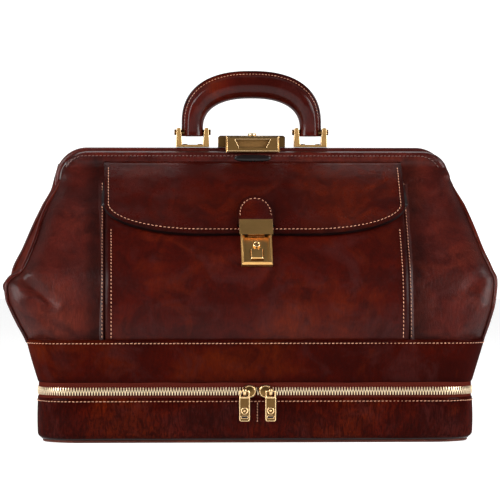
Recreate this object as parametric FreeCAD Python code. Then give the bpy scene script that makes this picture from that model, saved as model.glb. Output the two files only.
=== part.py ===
import FreeCAD, Part
import math
import os

# Doctor bag. Millimetres, +Z up, the front faces -Y, origin at the middle of the base on the floor.

# Base tray, the lower compartment
TRAY_HALF_X = 199.0
TRAY_HALF_Y = 107.0
TRAY_CORNER = 35.0
SHEET_TOP = 3.4
TRAY_TOP = 40.9
LEATHER = 3.0

# Zip round the left, the front and the right
TEETH_LOW = 43.3
ZIP_LINE = 46.9
TEETH_HIGH = 50.5
ZIP_GAP = 1.2
ZIP_REAR_END = 92.0
SLIDER_X = 7.2
SLIDER_WIDTH = 12.8
PULL_X = 11.8
PULL_PIVOT_Y = -111.4
PULL_PIVOT_Z = 46.9
PULL_LOW = 20.2

# Band round the foot of the upper bag
BAND_LOW = 54.4
BAND_TOP = 93.6

# Upper bag: height, half width at the corners, front face, back face, plan corner radius, side bulge
BODY_LEVELS = [
    (54.8, 194.8, -100.3, 103.3, 31.0, 0.5),
    (93.6, 205.1, -102.0, 110.6, 29.0, 1.0),
    (109.7, 212.0, -101.0, 111.5, 27.0, 6.0),
    (122.0, 216.0, -99.5, 111.5, 25.0, 9.5),
    (133.5, 219.5, -97.0, 110.0, 24.0, 10.5),
    (144.3, 220.0, -94.0, 107.5, 23.0, 8.0),
    (155.0, 217.0, -89.5, 103.0, 22.0, 7.0),
    (184.0, 206.0, -69.0, 82.0, 20.0, 4.0),
    (197.0, 201.5, -59.5, 71.5, 19.0, 3.0),
    (214.0, 195.0, -46.5, 56.0, 16.0, 2.0),
    (232.0, 187.8, -32.0, 39.5, 12.0, 1.0),
    (243.5, 183.5, -23.0, 28.0, 9.0, 0.7),
    (254.3, 180.0, -15.0, 17.0, 6.0, 0.5),
]
FOLD_Z = 192.0

# Bellows pocket: height and front face
POCKET_HALF_X = 137.5
POCKET_WALL = 2.4
POCKET_LEVELS = [
    (85.0, -108.8),
    (93.6, -110.6),
    (110.0, -113.0),
    (125.0, -113.0),
    (136.0, -111.5),
    (146.0, -109.0),
    (155.0, -105.0),
    (192.0, -77.0),
    (214.0, -57.5),
    (228.0, -45.0),
]

# Flap over the pocket
FLAP_HALF_X = 138.5
FLAP_BOTTOM = 192.0
FLAP_CURVE_TOP = 218.0
FLAP_TOP = 256.2
FLAP_PIVOT_Y = -18.5
FLAP_PIVOT_Z = 254.3

# Frame with two hinged halves
PIN_Z = 198.0
FRONT_TOP = 266.3
REAR_TOP = 270.7
ROLL_LOW = 240.0
ROLL_FRONT = (-15.0, -2.0)
ROLL_REAR = (2.0, 15.0)

# Handle
BRACKET_X = 55.5
HANDLE_Y = 8.5
HANDLE_PIN_Z = 284.9
HANDLE_TOP = 342.9

os.makedirs("parts", exist_ok=True)


def vec(x, y, z):
    return FreeCAD.Vector(x, y, z)


def save(shape, name):
    shape.exportStep("parts/" + name + ".step")


def plan_wire(half_x, front, back, radius, z, bulge=0.0):
    """Closed plan outline with four round corners at one height, its two sides straight or bulged."""
    k = radius * (1.0 - math.sqrt(0.5))
    r = radius
    x = half_x
    p = [
        vec(-x + r, front, z), vec(x - r, front, z), vec(x - k, front + k, z), vec(x, front + r, z),
        vec(x, back - r, z), vec(x - k, back - k, z), vec(x - r, back, z), vec(-x + r, back, z),
        vec(-x + k, back - k, z), vec(-x, back - r, z), vec(-x, front + r, z), vec(-x + k, front + k, z),
    ]
    right = Part.makeLine(p[3], p[4])
    left = Part.makeLine(p[9], p[10])
    if bulge > 0:
        middle = (front + back) / 2
        right = Part.Arc(p[3], vec(x + bulge, middle, z), p[4]).toShape()
        left = Part.Arc(p[9], vec(-x - bulge, middle, z), p[10]).toShape()
    edges = [
        Part.makeLine(p[0], p[1]),
        Part.Arc(p[1], p[2], p[3]).toShape(),
        right,
        Part.Arc(p[4], p[5], p[6]).toShape(),
        Part.makeLine(p[6], p[7]),
        Part.Arc(p[7], p[8], p[9]).toShape(),
        left,
        Part.Arc(p[10], p[11], p[0]).toShape(),
    ]
    return Part.Wire(edges)


def plan_block(half_x, half_y, radius, low, high):
    face = Part.Face(plan_wire(half_x, -half_y, half_y, radius, low))
    return face.extrude(vec(0, 0, high - low))


def plan_ring(half_x, half_y, radius, wall, low, high):
    outer = plan_block(half_x, half_y, radius, low, high)
    inner = plan_block(half_x - wall, half_y - wall, radius - wall, low - 1, high + 1)
    return outer.cut(inner)


def stack(levels):
    """Solid through a list of plan outlines."""
    wires = [plan_wire(hx, front, back, radius, z, bulge) for z, hx, front, back, radius, bulge in levels]
    return Part.makeLoft(wires, True, True)


def box(x0, x1, y0, y1, z0, z1):
    return Part.makeBox(x1 - x0, y1 - y0, z1 - z0, vec(x0, y0, z0))


def side_profile(points, x0, x1):
    """Polygon in the side view (y, z) extruded from x0 to x1."""
    corners = [vec(x0, y, z) for y, z in points]
    return Part.Face(Part.makePolygon(corners + corners[:1])).extrude(vec(x1 - x0, 0, 0))


def front_profile(points, y0, y1):
    """Polygon in the front view (x, z) extruded from y0 to y1."""
    corners = [vec(x, y0, z) for x, z in points]
    return Part.Face(Part.makePolygon(corners + corners[:1])).extrude(vec(0, y1 - y0, 0))


def arch(half_x, top, radius, low, y0, y1):
    """Upright plate with two round top corners."""
    k = radius * (1.0 - math.sqrt(0.5))
    p = [
        vec(-half_x, y0, low), vec(-half_x, y0, top - radius), vec(-half_x + k, y0, top - k),
        vec(-half_x + radius, y0, top), vec(half_x - radius, y0, top), vec(half_x - k, y0, top - k),
        vec(half_x, y0, top - radius), vec(half_x, y0, low),
    ]
    edges = [
        Part.makeLine(p[0], p[1]),
        Part.Arc(p[1], p[2], p[3]).toShape(),
        Part.makeLine(p[3], p[4]),
        Part.Arc(p[4], p[5], p[6]).toShape(),
        Part.makeLine(p[6], p[7]),
        Part.makeLine(p[7], p[0]),
    ]
    return Part.Face(Part.Wire(edges)).extrude(vec(0, y1 - y0, 0))


def cylinder_x(radius, x0, x1, y, z):
    return Part.makeCylinder(radius, x1 - x0, vec(x0, y, z), vec(1, 0, 0))


def at_height(levels, z, column):
    for low, high in zip(levels[:-1], levels[1:]):
        if low[0] <= z <= high[0]:
            t = (z - low[0]) / (high[0] - low[0])
            return low[column] + t * (high[column] - low[column])
    raise ValueError(z)


def tube(points, radius):
    """Upright cord through the points, round in plan."""
    rings = [Part.Wire([Part.makeCircle(radius, vec(*p), vec(0, 0, 1))]) for p in points]
    return Part.makeLoft(rings, True, True)


def mirror_x(shape):
    return shape.mirror(vec(0, 0, 0), vec(1, 0, 0))


def join(shapes):
    return shapes[0].multiFuse(shapes[1:]).removeSplitter()


# ---------------------------------------------------------------- base tray
def build_tray():
    tray = plan_block(TRAY_HALF_X, TRAY_HALF_Y, TRAY_CORNER, SHEET_TOP, TRAY_TOP)
    low_edges = [e for e in tray.Edges if e.BoundBox.ZMax < SHEET_TOP + 0.1]
    tray = tray.makeFillet(5.0, low_edges)
    hollow = plan_block(
        TRAY_HALF_X - LEATHER, TRAY_HALF_Y - LEATHER, TRAY_CORNER - LEATHER, SHEET_TOP + LEATHER, TRAY_TOP + 1
    )
    save(tray.cut(hollow), "tray_shell")
    save(plan_block(TRAY_HALF_X - 5.5, TRAY_HALF_Y - 5.5, TRAY_CORNER - 5.5, 0.0, SHEET_TOP), "bottom_sheet")
    inset = LEATHER + 0.4
    board = plan_block(
        TRAY_HALF_X - inset, TRAY_HALF_Y - inset, TRAY_CORNER - inset, SHEET_TOP + LEATHER, SHEET_TOP + LEATHER + 2.5
    )
    save(board, "tray_board")


def zip_strip(inset, wall, low, high):
    ring = plan_ring(TRAY_HALF_X - inset, TRAY_HALF_Y - inset, TRAY_CORNER - inset, wall, low, high)
    rear = box(-300, 300, ZIP_REAR_END, 200, low - 2, high + 2)
    return ring.cut(rear)


def build_zip():
    save(zip_strip(0.8, 1.6, TRAY_TOP, TEETH_LOW), "zip_tape_lower")
    save(zip_strip(0.2, 2.8, TEETH_LOW, ZIP_LINE - ZIP_GAP / 2), "zip_teeth_lower")
    save(zip_strip(0.2, 2.8, ZIP_LINE + ZIP_GAP / 2, TEETH_HIGH), "zip_teeth_upper")
    save(zip_strip(0.8, 1.6, TEETH_HIGH, BAND_LOW), "zip_tape_upper")
    ring = plan_ring(
        TRAY_HALF_X - 0.8, TRAY_HALF_Y - 0.8, TRAY_CORNER - 0.8, 1.6, TRAY_TOP, BAND_LOW - 0.3
    )
    save(ring.common(box(-300, 300, ZIP_REAR_END + 0.3, 200, 40, 60)), "hinge_strip")


def nose_outline(x0, x1, low, high):
    """Front view of a slider plate, narrow towards the middle of the bag."""
    return [(x0, low + 1.8), (x0 + 3.2, low), (x1, low), (x1, high), (x0 + 3.2, high), (x0, high - 1.8)]


def build_zip_slider():
    """Slider that straddles the teeth: two plates, a thin web and the crown that holds the pull."""
    x0 = SLIDER_X - SLIDER_WIDTH / 2
    x1 = SLIDER_X + SLIDER_WIDTH / 2
    face = -TRAY_HALF_Y - 0.3
    front = front_profile(nose_outline(x0, x1, ZIP_LINE - 5.7, ZIP_LINE + 5.7), face - 2.1, face)
    rear = front_profile(nose_outline(x0, x1, ZIP_LINE - 3.9, ZIP_LINE + 3.9), face + 3.7, face + 5.0)
    web = box(x0 + 0.6, x0 + 2.2, face - 1.0, face + 4.4, ZIP_LINE - 0.25, ZIP_LINE + 0.25)
    y = PULL_PIVOT_Y
    z = PULL_PIVOT_Z
    crown = side_profile(
        [(face - 1, z - 3.4), (y - 1.9, z - 3.4), (y - 2.9, z - 2.2), (y - 2.9, z + 2.2),
         (y - 1.9, z + 3.4), (face - 1, z + 3.4)],
        PULL_X - 1.6, PULL_X + 1.6,
    )
    crown = crown.cut(box(PULL_X - 5, PULL_X + 5, y - 1.65, face - 2.1, z - 1.9, z + 1.9))
    return join([front, rear, web, crown])


def build_zip_pull():
    """Flat tab with a raised rim, a slot and a plain round boss."""
    half = 4.95
    front = PULL_PIVOT_Y - 1.0
    back = PULL_PIVOT_Y + 1.0
    z = PULL_PIVOT_Z
    tab = box(PULL_X - half, PULL_X + half, front, back, PULL_LOW, z + 0.75)
    corners = [e for e in tab.Edges if e.BoundBox.YLength > 1.9 and e.BoundBox.ZMax < PULL_LOW + 1]
    tab = tab.makeFillet(1.6, corners)
    recess = box(PULL_X - half + 1.3, PULL_X + half - 1.3, front - 1, front + 0.5, PULL_LOW + 1.4, z - 7.4)
    slot = box(PULL_X - 2.6, PULL_X + 2.6, front - 1, back + 1, PULL_LOW + 2.9, PULL_LOW + 4.4)
    window = box(PULL_X - 2.2, PULL_X + 2.2, front - 1, back + 1, z - 5.4, z - 0.75)
    boss = Part.makeCylinder(3.7, 0.7, vec(PULL_X, front - 0.1, PULL_LOW + 10.2), vec(0, 1, 0))
    return tab.cut(recess).cut(slot).cut(window).fuse(boss)


def build_zip_parts():
    slider = build_zip_slider()
    tab = build_zip_pull()
    save(slider, "zip_slider_right")
    save(mirror_x(slider), "zip_slider_left")
    save(tab, "zip_pull_right")
    save(mirror_x(tab), "zip_pull_left")


# ---------------------------------------------------------------- upper bag
def inset_levels(levels, wall):
    inner = []
    for z, hx, front, back, radius, bulge in levels:
        inner.append((z, hx - wall, front + wall, back - wall, max(radius - wall, 2.0), bulge))
    return inner


def frame_space():
    """Room taken by both rolls of the frame, with a small gap."""
    front = arch(182.3, FRONT_TOP + 5, 28, ROLL_LOW - 0.4, ROLL_FRONT[0] - 0.3, 0.0)
    rear = arch(184.8, REAR_TOP + 5, 30, ROLL_LOW - 0.4, 0.0, ROLL_REAR[1] + 0.3)
    return front.fuse(rear)


def build_band():
    outer = [(BAND_LOW, 198.5, -106.5, 106.5, 34.0, 0.0), (BAND_TOP, 209.4, -113.8, 113.8, 32.0, 0.0)]
    inner = [(BAND_LOW, 195.5, -103.5, 103.5, 31.0, 0.0), (BAND_TOP, 206.4, -110.8, 110.8, 29.0, 0.0)]
    save(stack(outer).cut(stack(inner)), "base_band")
    face = Part.Face(plan_wire(191.8, -96.8, 99.8, 27.5, 54.8))
    save(face.extrude(vec(0, 0, 2.6)), "floor_board")


def build_shell():
    outer = stack(BODY_LEVELS)
    inner_levels = inset_levels(BODY_LEVELS, LEATHER)
    inner = stack(inner_levels)
    shell = outer.cut(inner).cut(frame_space())
    seam = []
    for z, hx, front, back, radius, bulge in BODY_LEVELS:
        seam.append((hx - 0.3 * radius, z))
    low = [(seam[0][0], seam[0][1] - 1)]
    high = [(seam[-1][0], seam[-1][1] + 1)]
    right = low + seam + high
    left = [(-x, z) for x, z in reversed(right)]
    centre_front = front_profile(right + left, -200, 0)
    centre_back = front_profile(right + left, 0, 200)
    front_panel = shell.common(centre_front)
    back_all = shell.common(centre_back)
    sides = shell.cut(centre_front).cut(centre_back).cut(box(-300, 300, -300, 300, ROLL_LOW - 1.0, 400))
    above = box(-300, 300, 0, 300, FOLD_Z, 400)
    save(front_panel, "front_panel")
    save(back_all.cut(above), "back_panel")
    save(back_all.common(above), "back_panel_upper")
    left_side = sides.common(box(-300, 0, -300, 300, 0, 400))
    right_side = sides.common(box(0, 300, -300, 300, 0, 400))
    save(left_side.cut(above), "gusset_left")
    save(right_side.cut(above), "gusset_right")
    save(left_side.common(above), "gusset_fold_left")
    save(right_side.common(above), "gusset_fold_right")
    # Lining of the main compartment, up to the fold line
    lining_levels = [level for level in BODY_LEVELS if 58 < level[0] < FOLD_Z - 2]
    first = [58.0] + [at_height(BODY_LEVELS, 58.0, i) for i in (1, 2, 3, 4, 5)]
    last = [FOLD_Z - 2] + [at_height(BODY_LEVELS, FOLD_Z - 2, i) for i in (1, 2, 3, 4, 5)]
    lining_levels = [tuple(first)] + lining_levels + [tuple(last)]
    lining = stack(inset_levels(lining_levels, LEATHER + 0.1)).cut(stack(inset_levels(lining_levels, LEATHER + 1.1)))
    save(lining, "lining")


def build_piping():
    front = []
    back = []
    for z, hx, y_front, y_back, radius, bulge in BODY_LEVELS:
        if z < BAND_TOP or z > 238:
            continue
        off = radius * (1.0 - math.sqrt(0.5))
        out = 2.75 * math.sqrt(0.5)
        front.append((hx - off + out, y_front + off - out, z + 0.8))
        back.append((hx - off + out, y_back - off + out, z + 0.8))
    cord = tube(front, 2.0)
    save(cord, "piping_front_right")
    save(mirror_x(cord), "piping_front_left")
    cord = tube([p for p in back if p[2] < FOLD_Z], 2.0)
    save(cord, "piping_back_right")
    save(mirror_x(cord), "piping_back_left")


# ---------------------------------------------------------------- pocket and flap
def build_pocket():
    outer = [(y, z) for z, y in POCKET_LEVELS]
    inner = [(y + POCKET_WALL, z) for y, z in reversed(outer)]
    save(side_profile(outer + inner, -POCKET_HALF_X, POCKET_HALF_X), "pocket_front")
    rows = []
    heights = sorted(set([level[0] for level in POCKET_LEVELS + BODY_LEVELS if 85.0 <= level[0] <= 228.0]))
    for z in heights:
        rows.append((at_height(POCKET_LEVELS, z, 1) + POCKET_WALL + 0.02, at_height(BODY_LEVELS, z, 2) - 0.02, z))
    side = [(a, z) for a, b, z in rows] + [(b, z) for a, b, z in reversed(rows)]
    right = side_profile(side, POCKET_HALF_X - 1.8, POCKET_HALF_X)
    left = side_profile(side, -POCKET_HALF_X, -POCKET_HALF_X + 1.8)
    low = rows[0][2]
    front_low = at_height(POCKET_LEVELS, low, 1) + POCKET_WALL + 0.02
    front_high = at_height(POCKET_LEVELS, low + 2, 1) + POCKET_WALL + 0.02
    panel_low = at_height(BODY_LEVELS, low, 2) - 0.02
    panel_high = at_height(BODY_LEVELS, low + 2, 2) - 0.02
    bottom = side_profile(
        [(front_low, low), (front_high, low + 2), (panel_high, low + 2), (panel_low, low)],
        -POCKET_HALF_X, POCKET_HALF_X,
    )
    save(join([right, left, bottom]), "pocket_gusset")


def flap_rows(offset):
    """Side view of the flap's face at one distance in front of the pocket."""
    rows = []
    for z in (FLAP_BOTTOM, 214.0, 228.0):
        rows.append((at_height(POCKET_LEVELS, z, 1) - offset, z))
    rows.append((FLAP_PIVOT_Y - offset + 1.0, FLAP_TOP))
    return rows


def flap_slab(near, far, x0, x1):
    return side_profile(flap_rows(far) + list(reversed(flap_rows(near))), x0, x1)


def flap_outline():
    """Front view of the flap, straight sides and two long lower curves."""
    rise = FLAP_CURVE_TOP - FLAP_BOTTOM
    points = [(-FLAP_HALF_X, FLAP_TOP + 1), (-FLAP_HALF_X, FLAP_CURVE_TOP)]
    for i in range(1, 12):
        a = math.radians(90.0 * i / 12)
        points.append((-FLAP_HALF_X + 50.0 * (1 - math.cos(a)), FLAP_CURVE_TOP - rise * math.sin(a)))
    points.append((-FLAP_HALF_X + 50.0, FLAP_BOTTOM))
    mirrored = [(-x, z) for x, z in reversed(points)]
    return front_profile(points + mirrored, -200, 0)


def tab_outline(half, low, top):
    points = [(-half, low), (-half, top - half)]
    for i in range(1, 12):
        a = math.radians(180.0 * i / 12)
        points.append((-half * math.cos(a), top - half + half * math.sin(a)))
    points += [(half, top - half), (half, low)]
    return front_profile(points, -200, 0)


def build_flap():
    flap = flap_slab(1.2, 5.2, -FLAP_HALF_X, FLAP_HALF_X).common(flap_outline())
    save(flap, "flap")
    tab = flap_slab(5.2, 8.4, -20, 20).common(tab_outline(17.4, 195.5, 223.3))
    save(tab, "flap_tab")


# The pocket lock lies on the slope of the pocket front.
SLOPE = math.degrees(math.atan2(28.0, 37.0))
LOCK_Z = 173.6
LOCK_Y = -105.0 + (LOCK_Z - 155.0) * 28.0 / 37.0


def lie_on_slope(shape):
    """Move a shape from an upright frame at the origin onto the pocket slope."""
    placed = shape.copy()
    turn = FreeCAD.Rotation(vec(1, 0, 0), -SLOPE)
    placed.Placement = FreeCAD.Placement(vec(0, LOCK_Y, LOCK_Z), turn).multiply(placed.Placement)
    return placed


def build_pocket_lock():
    plate = box(-14.1, 14.1, -6.2, 0.0, -18.7, 18.7)
    front_edges = [e for e in plate.Edges if e.BoundBox.YMax < -6.1]
    plate = plate.makeChamfer(1.6, front_edges)
    well = box(-11.0, 11.0, -8.0, -4.6, -16.1, 21.0)
    mouth = box(-10.2, 10.2, -8.0, -1.8, 11.8, 21.0)
    track = box(-6.2, 6.2, -5.0, -3.0, -16.1, -1.2)
    boss_hole = Part.makeCylinder(3.26, 6.0, vec(0, -7.0, 3.5), vec(0, 1, 0))
    plate = plate.cut(well).cut(mouth).cut(track).cut(boss_hole)
    save(lie_on_slope(plate), "lock_plate")
    thumb = box(-5.6, 5.6, -6.6, -3.3, -12.9, -1.9)
    thumb = thumb.makeChamfer(0.9, [e for e in thumb.Edges if e.BoundBox.YMax < -6.5])
    save(lie_on_slope(thumb), "release_slider")
    key = Part.makeCylinder(3.2, 4.4, vec(0, -5.6, 3.5), vec(0, 1, 0))
    key_slot = box(-0.6, 0.6, -6.0, -3.0, 1.4, 5.6)
    save(lie_on_slope(key.cut(key_slot)), "key_cylinder")
    # Brass cap on the end of the tab with the hook that drops in the mouth of the lock.
    cap = flap_slab(8.5, 11.6, -15.4, 15.4).common(box(-16, 16, -200, 0, 194.0, 202.7))
    lip_outer = [(at_height(POCKET_LEVELS, z, 1) - 11.6, z) for z in (188.9, 192.0)]
    lip_outer.append((at_height(POCKET_LEVELS, 194.0, 1) - 11.6, 194.0))
    lip_inner = [(at_height(POCKET_LEVELS, z, 1) - 8.9, z) for z in (194.0, 192.0, 188.9)]
    lip = side_profile(lip_outer + lip_inner, -15.4, 15.4)
    hook = lie_on_slope(box(-8.0, 8.0, -5.0, -2.4, 12.6, 18.0))
    bridge = lie_on_slope(box(-8.0, 8.0, -8.6, -2.4, 15.2, 18.0))
    save(join([cap, lip, hook, bridge]), "flap_cap")


# ---------------------------------------------------------------- frame and top lock
def build_frame():
    lug_outer = Part.makeCylinder(5.4, 2.8, vec(177.2, 0, PIN_Z), vec(1, 0, 0))
    lug_outer_arm = box(177.2, 180.0, -8.0, 0.0, PIN_Z - 4.0, PIN_Z + 4.0)
    lug_inner = Part.makeCylinder(5.4, 2.8, vec(173.9, 0, PIN_Z), vec(1, 0, 0))
    lug_inner_arm = box(173.9, 176.7, 0.0, 8.0, PIN_Z - 4.0, PIN_Z + 4.0)
    hole_tight = cylinder_x(2.5, 170, 185, 0, PIN_Z)
    hole_free = cylinder_x(2.56, 170, 185, 0, PIN_Z)
    front = arch(180.0, FRONT_TOP - 2, 24, PIN_Z - 4, -13.0, -6.2)
    front = front.cut(arch(171.0, FRONT_TOP - 11, 15, PIN_Z - 10, -20, 0))
    lug = lug_outer.fuse(lug_outer_arm).cut(hole_tight)
    front = join([front, lug, mirror_x(lug)])
    save(front, "front_frame")
    rear = arch(182.5, REAR_TOP - 2, 28, PIN_Z - 4, 6.2, 13.0)
    rear = rear.cut(arch(173.5, REAR_TOP - 11, 19, PIN_Z - 10, 0, 20))
    lug = lug_inner.fuse(lug_inner_arm).cut(hole_free)
    rear = join([rear, lug, mirror_x(lug)])
    save(rear, "rear_frame")
    roll = arch(182.0, FRONT_TOP, 26, ROLL_LOW, ROLL_FRONT[0], ROLL_FRONT[1])
    roll = roll.cut(arch(169.0, FRONT_TOP - 12, 13, ROLL_LOW - 7, -30, 10))
    core = arch(180.0, FRONT_TOP - 2, 24, ROLL_LOW - 7, -13.0, -6.2)
    core = core.cut(arch(171.0, FRONT_TOP - 11, 15, ROLL_LOW - 17, -20, 0))
    roll = roll.cut(core)
    save(roll, "front_roll")
    roll = arch(184.5, REAR_TOP, 30, ROLL_LOW, ROLL_REAR[0], ROLL_REAR[1])
    roll = roll.cut(arch(171.5, REAR_TOP - 13, 17, ROLL_LOW - 7, 0, 30)).cut(rear)
    save(roll, "rear_roll")
    pin = cylinder_x(2.5, 171.9, 181.6, 0, PIN_Z)
    head = cylinder_x(4.0, 181.6, 182.8, 0, PIN_Z)
    pin = pin.fuse(head)
    save(Part.makeCompound([pin, mirror_x(pin)]), "frame_pins")


def build_top_lock():
    h = REAR_TOP
    plate = box(-25, 25, -18.6, -15.2, h - 5.6, h + 9.8)
    plate = plate.makeChamfer(1.4, [e for e in plate.Edges if e.BoundBox.YMax < -18.5])
    window = front_profile([(-12.7, h - 1.2), (12.7, h - 1.2), (16.5, h + 6.8), (-16.5, h + 6.8)], -30, 0)
    save(plate.cut(window), "strike_plate")
    ends = [Part.makeCylinder(2.5, 1.1, vec(x, -16.3, h - 8.2), vec(0, 1, 0)) for x in (-14.2, 14.2)]
    middle = box(-14.2, 14.2, -16.3, -15.2, h - 10.7, h - 5.7)
    save(join([middle] + ends), "lock_guard")
    case = box(-31.5, 31.5, 2.6, 14.4, h, h + 11.0)
    nose_limit = box(-40, 40, 1.8, 10, h - 8, h)
    case = case.makeChamfer(1.6, [e for e in case.Edges if e.BoundBox.ZMin > h + 10.9])
    nose = box(-20.0, 20.0, -12.6, 3.0, h - 0.8, h + 8.2)
    nose = nose.makeFillet(3.5, [e for e in nose.Edges if e.BoundBox.YMax < -12.5 and e.BoundBox.XLength > 10])
    track = box(-17.5, 17.5, -8.6, -3.4, h + 6.6, h + 12.0)
    save(case.fuse(nose.cut(nose_limit)).cut(track).removeSplitter(), "lock_case")
    bar = box(-11.0, 11.0, -8.0, -4.0, h + 7.0, h + 10.2)
    bar = bar.makeFillet(0.9, [e for e in bar.Edges if e.BoundBox.ZMin > h + 10.0])
    knob = Part.makeCylinder(3.85, 3.4, vec(0, -6.0, h + 9.4))
    knob = knob.makeFillet(0.9, [e for e in knob.Edges if e.BoundBox.ZMin > h + 12.6])
    save(bar.fuse(knob).removeSplitter(), "lock_slide")


def build_brackets():
    post_top = REAR_TOP + 17.0

    def bracket(x):
        y0 = HANDLE_Y - 6.0
        y1 = HANDLE_Y + 6.0
        base = box(x - 15.5, x + 15.5, y0, y1, REAR_TOP, REAR_TOP + 2.2)
        posts = [
            box(x - 15.5, x - 12.5, y0, y1, REAR_TOP + 2.2, post_top),
            box(x + 12.5, x + 15.5, y0, y1, REAR_TOP + 2.2, post_top),
            box(x - 16.5, x - 12.0, y0, y1, post_top, post_top + 1.2),
            box(x + 12.0, x + 16.5, y0, y1, post_top, post_top + 1.2),
        ]
        hole = cylinder_x(2.5, x - 30, x + 30, HANDLE_Y, HANDLE_PIN_Z)
        return join([base] + posts).cut(hole)

    save(bracket(BRACKET_X), "handle_bracket_right")
    save(bracket(-BRACKET_X), "handle_bracket_left")
    pins = []
    rivets = []
    for x in (-BRACKET_X, BRACKET_X):
        pin = cylinder_x(2.5, x - 15.5, x + 15.5, HANDLE_Y, HANDLE_PIN_Z)
        pin = pin.fuse(cylinder_x(2.7, x - 17.1, x - 15.5, HANDLE_Y, HANDLE_PIN_Z))
        pin = pin.fuse(cylinder_x(2.7, x + 15.5, x + 17.1, HANDLE_Y, HANDLE_PIN_Z))
        pins.append(pin)
        for side in (-7.0, 7.0):
            rivets.append(Part.makeCylinder(2.2, 1.0, vec(x + side, HANDLE_Y, REAR_TOP + 2.2)))
    save(Part.makeCompound(pins), "handle_pins")
    save(Part.makeCompound(rivets), "bracket_rivets")


def handle_arch(half_x, low, base, top, y0, y1):
    """Upright plate with a flattened round top."""
    power = 2.0 / 2.4
    points = []
    for i in range(33):
        a = math.pi * i / 32
        c = math.cos(a)
        x = -math.copysign(abs(c) ** power, c) * half_x
        points.append(vec(x, y0, base + (top - base) * abs(math.sin(a)) ** power))
    curve = Part.BSplineCurve()
    curve.interpolate(points)
    edges = [
        Part.makeLine(vec(-half_x, y0, low), points[0]),
        curve.toShape(),
        Part.makeLine(points[-1], vec(half_x, y0, low)),
        Part.makeLine(vec(half_x, y0, low), vec(-half_x, y0, low)),
    ]
    return Part.Face(Part.Wire(edges)).extrude(vec(0, y1 - y0, 0))


def build_handle():
    y0 = HANDLE_Y - 10.5
    y1 = HANDLE_Y + 10.5
    outer = handle_arch(65.8, HANDLE_PIN_Z - 10.5, HANDLE_PIN_Z + 8, HANDLE_TOP, y0, y1)
    inner = handle_arch(45.4, HANDLE_PIN_Z - 22, HANDLE_PIN_Z, HANDLE_TOP - 26.2, y0 - 5, y1 + 5)
    grip = outer.cut(inner)
    long_edges = [e for e in grip.Edges if e.BoundBox.YLength < 0.1 and e.BoundBox.ZMax > HANDLE_PIN_Z - 7]
    grip = grip.makeFillet(6.0, long_edges)
    foot = cylinder_x(10.4, -70, 70, HANDLE_Y, HANDLE_PIN_Z)
    high = box(-80, 80, y0 - 5, y1 + 5, HANDLE_PIN_Z, 400)
    grip = grip.common(foot.fuse(high))
    mid0 = HANDLE_Y - 3.5
    mid1 = HANDLE_Y + 3.5
    core = handle_arch(58.5, HANDLE_PIN_Z + 6, HANDLE_PIN_Z + 8, HANDLE_TOP - 9, mid0, mid1)
    core = core.cut(handle_arch(52.5, HANDLE_PIN_Z - 12, HANDLE_PIN_Z + 3, HANDLE_TOP - 16, mid0 - 5, mid1 + 5))
    hole = cylinder_x(2.58, -80, 80, HANDLE_Y, HANDLE_PIN_Z)
    save(grip.cut(core).cut(hole), "handle_leather")
    save(core, "handle_core")


build_tray()
build_zip()
build_zip_parts()
build_band()
build_shell()
build_piping()
build_pocket()
build_flap()
build_pocket_lock()
build_frame()
build_top_lock()
build_brackets()
build_handle()
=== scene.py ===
import math

import bmesh
import bpy
import numpy as np
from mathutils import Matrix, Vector


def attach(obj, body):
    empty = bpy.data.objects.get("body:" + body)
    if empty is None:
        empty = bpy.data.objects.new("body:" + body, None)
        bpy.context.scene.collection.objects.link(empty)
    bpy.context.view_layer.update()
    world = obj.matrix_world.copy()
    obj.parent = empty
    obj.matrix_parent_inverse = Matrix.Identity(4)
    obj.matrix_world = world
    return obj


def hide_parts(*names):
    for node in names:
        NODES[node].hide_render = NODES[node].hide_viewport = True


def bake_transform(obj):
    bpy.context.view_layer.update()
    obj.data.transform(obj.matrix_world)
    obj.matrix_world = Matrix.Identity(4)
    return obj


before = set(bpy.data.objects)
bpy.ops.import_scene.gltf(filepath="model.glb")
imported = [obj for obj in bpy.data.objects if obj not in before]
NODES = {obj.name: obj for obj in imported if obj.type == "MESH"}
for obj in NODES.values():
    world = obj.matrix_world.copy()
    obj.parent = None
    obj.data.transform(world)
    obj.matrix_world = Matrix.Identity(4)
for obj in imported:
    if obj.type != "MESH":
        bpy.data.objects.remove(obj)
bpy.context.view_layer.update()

MM = 0.001
SIDES = ((-1, "left"), (1, "right"))
X_AXIS = np.array([1.0, 0.0, 0.0])
Z_AXIS = np.array([0.0, 0.0, 1.0])
BLACK = (0, 0, 0)
WHITE = (1, 1, 1)

# ------------------------------------------------------------------ sizes, in millimetres
TRAY = (199.0, 107.0, 35.0)
TRAY_TOP = 40.9
SHEET_TOP = 3.4
ZIP_LINE = 46.9
ZIP_REAR_END = 92.0
BAND_LOW = 54.4
BAND_TOP = 93.6
# half width, half depth and corner radius at the band's foot, and what they gain up to its top
BAND_FOOT = (198.5, 106.5, 34.0)
BAND_FLARE = (10.9, 7.3, -2.0)
PANEL_LOW = 86
PANEL_TOP = 255.2
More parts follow.
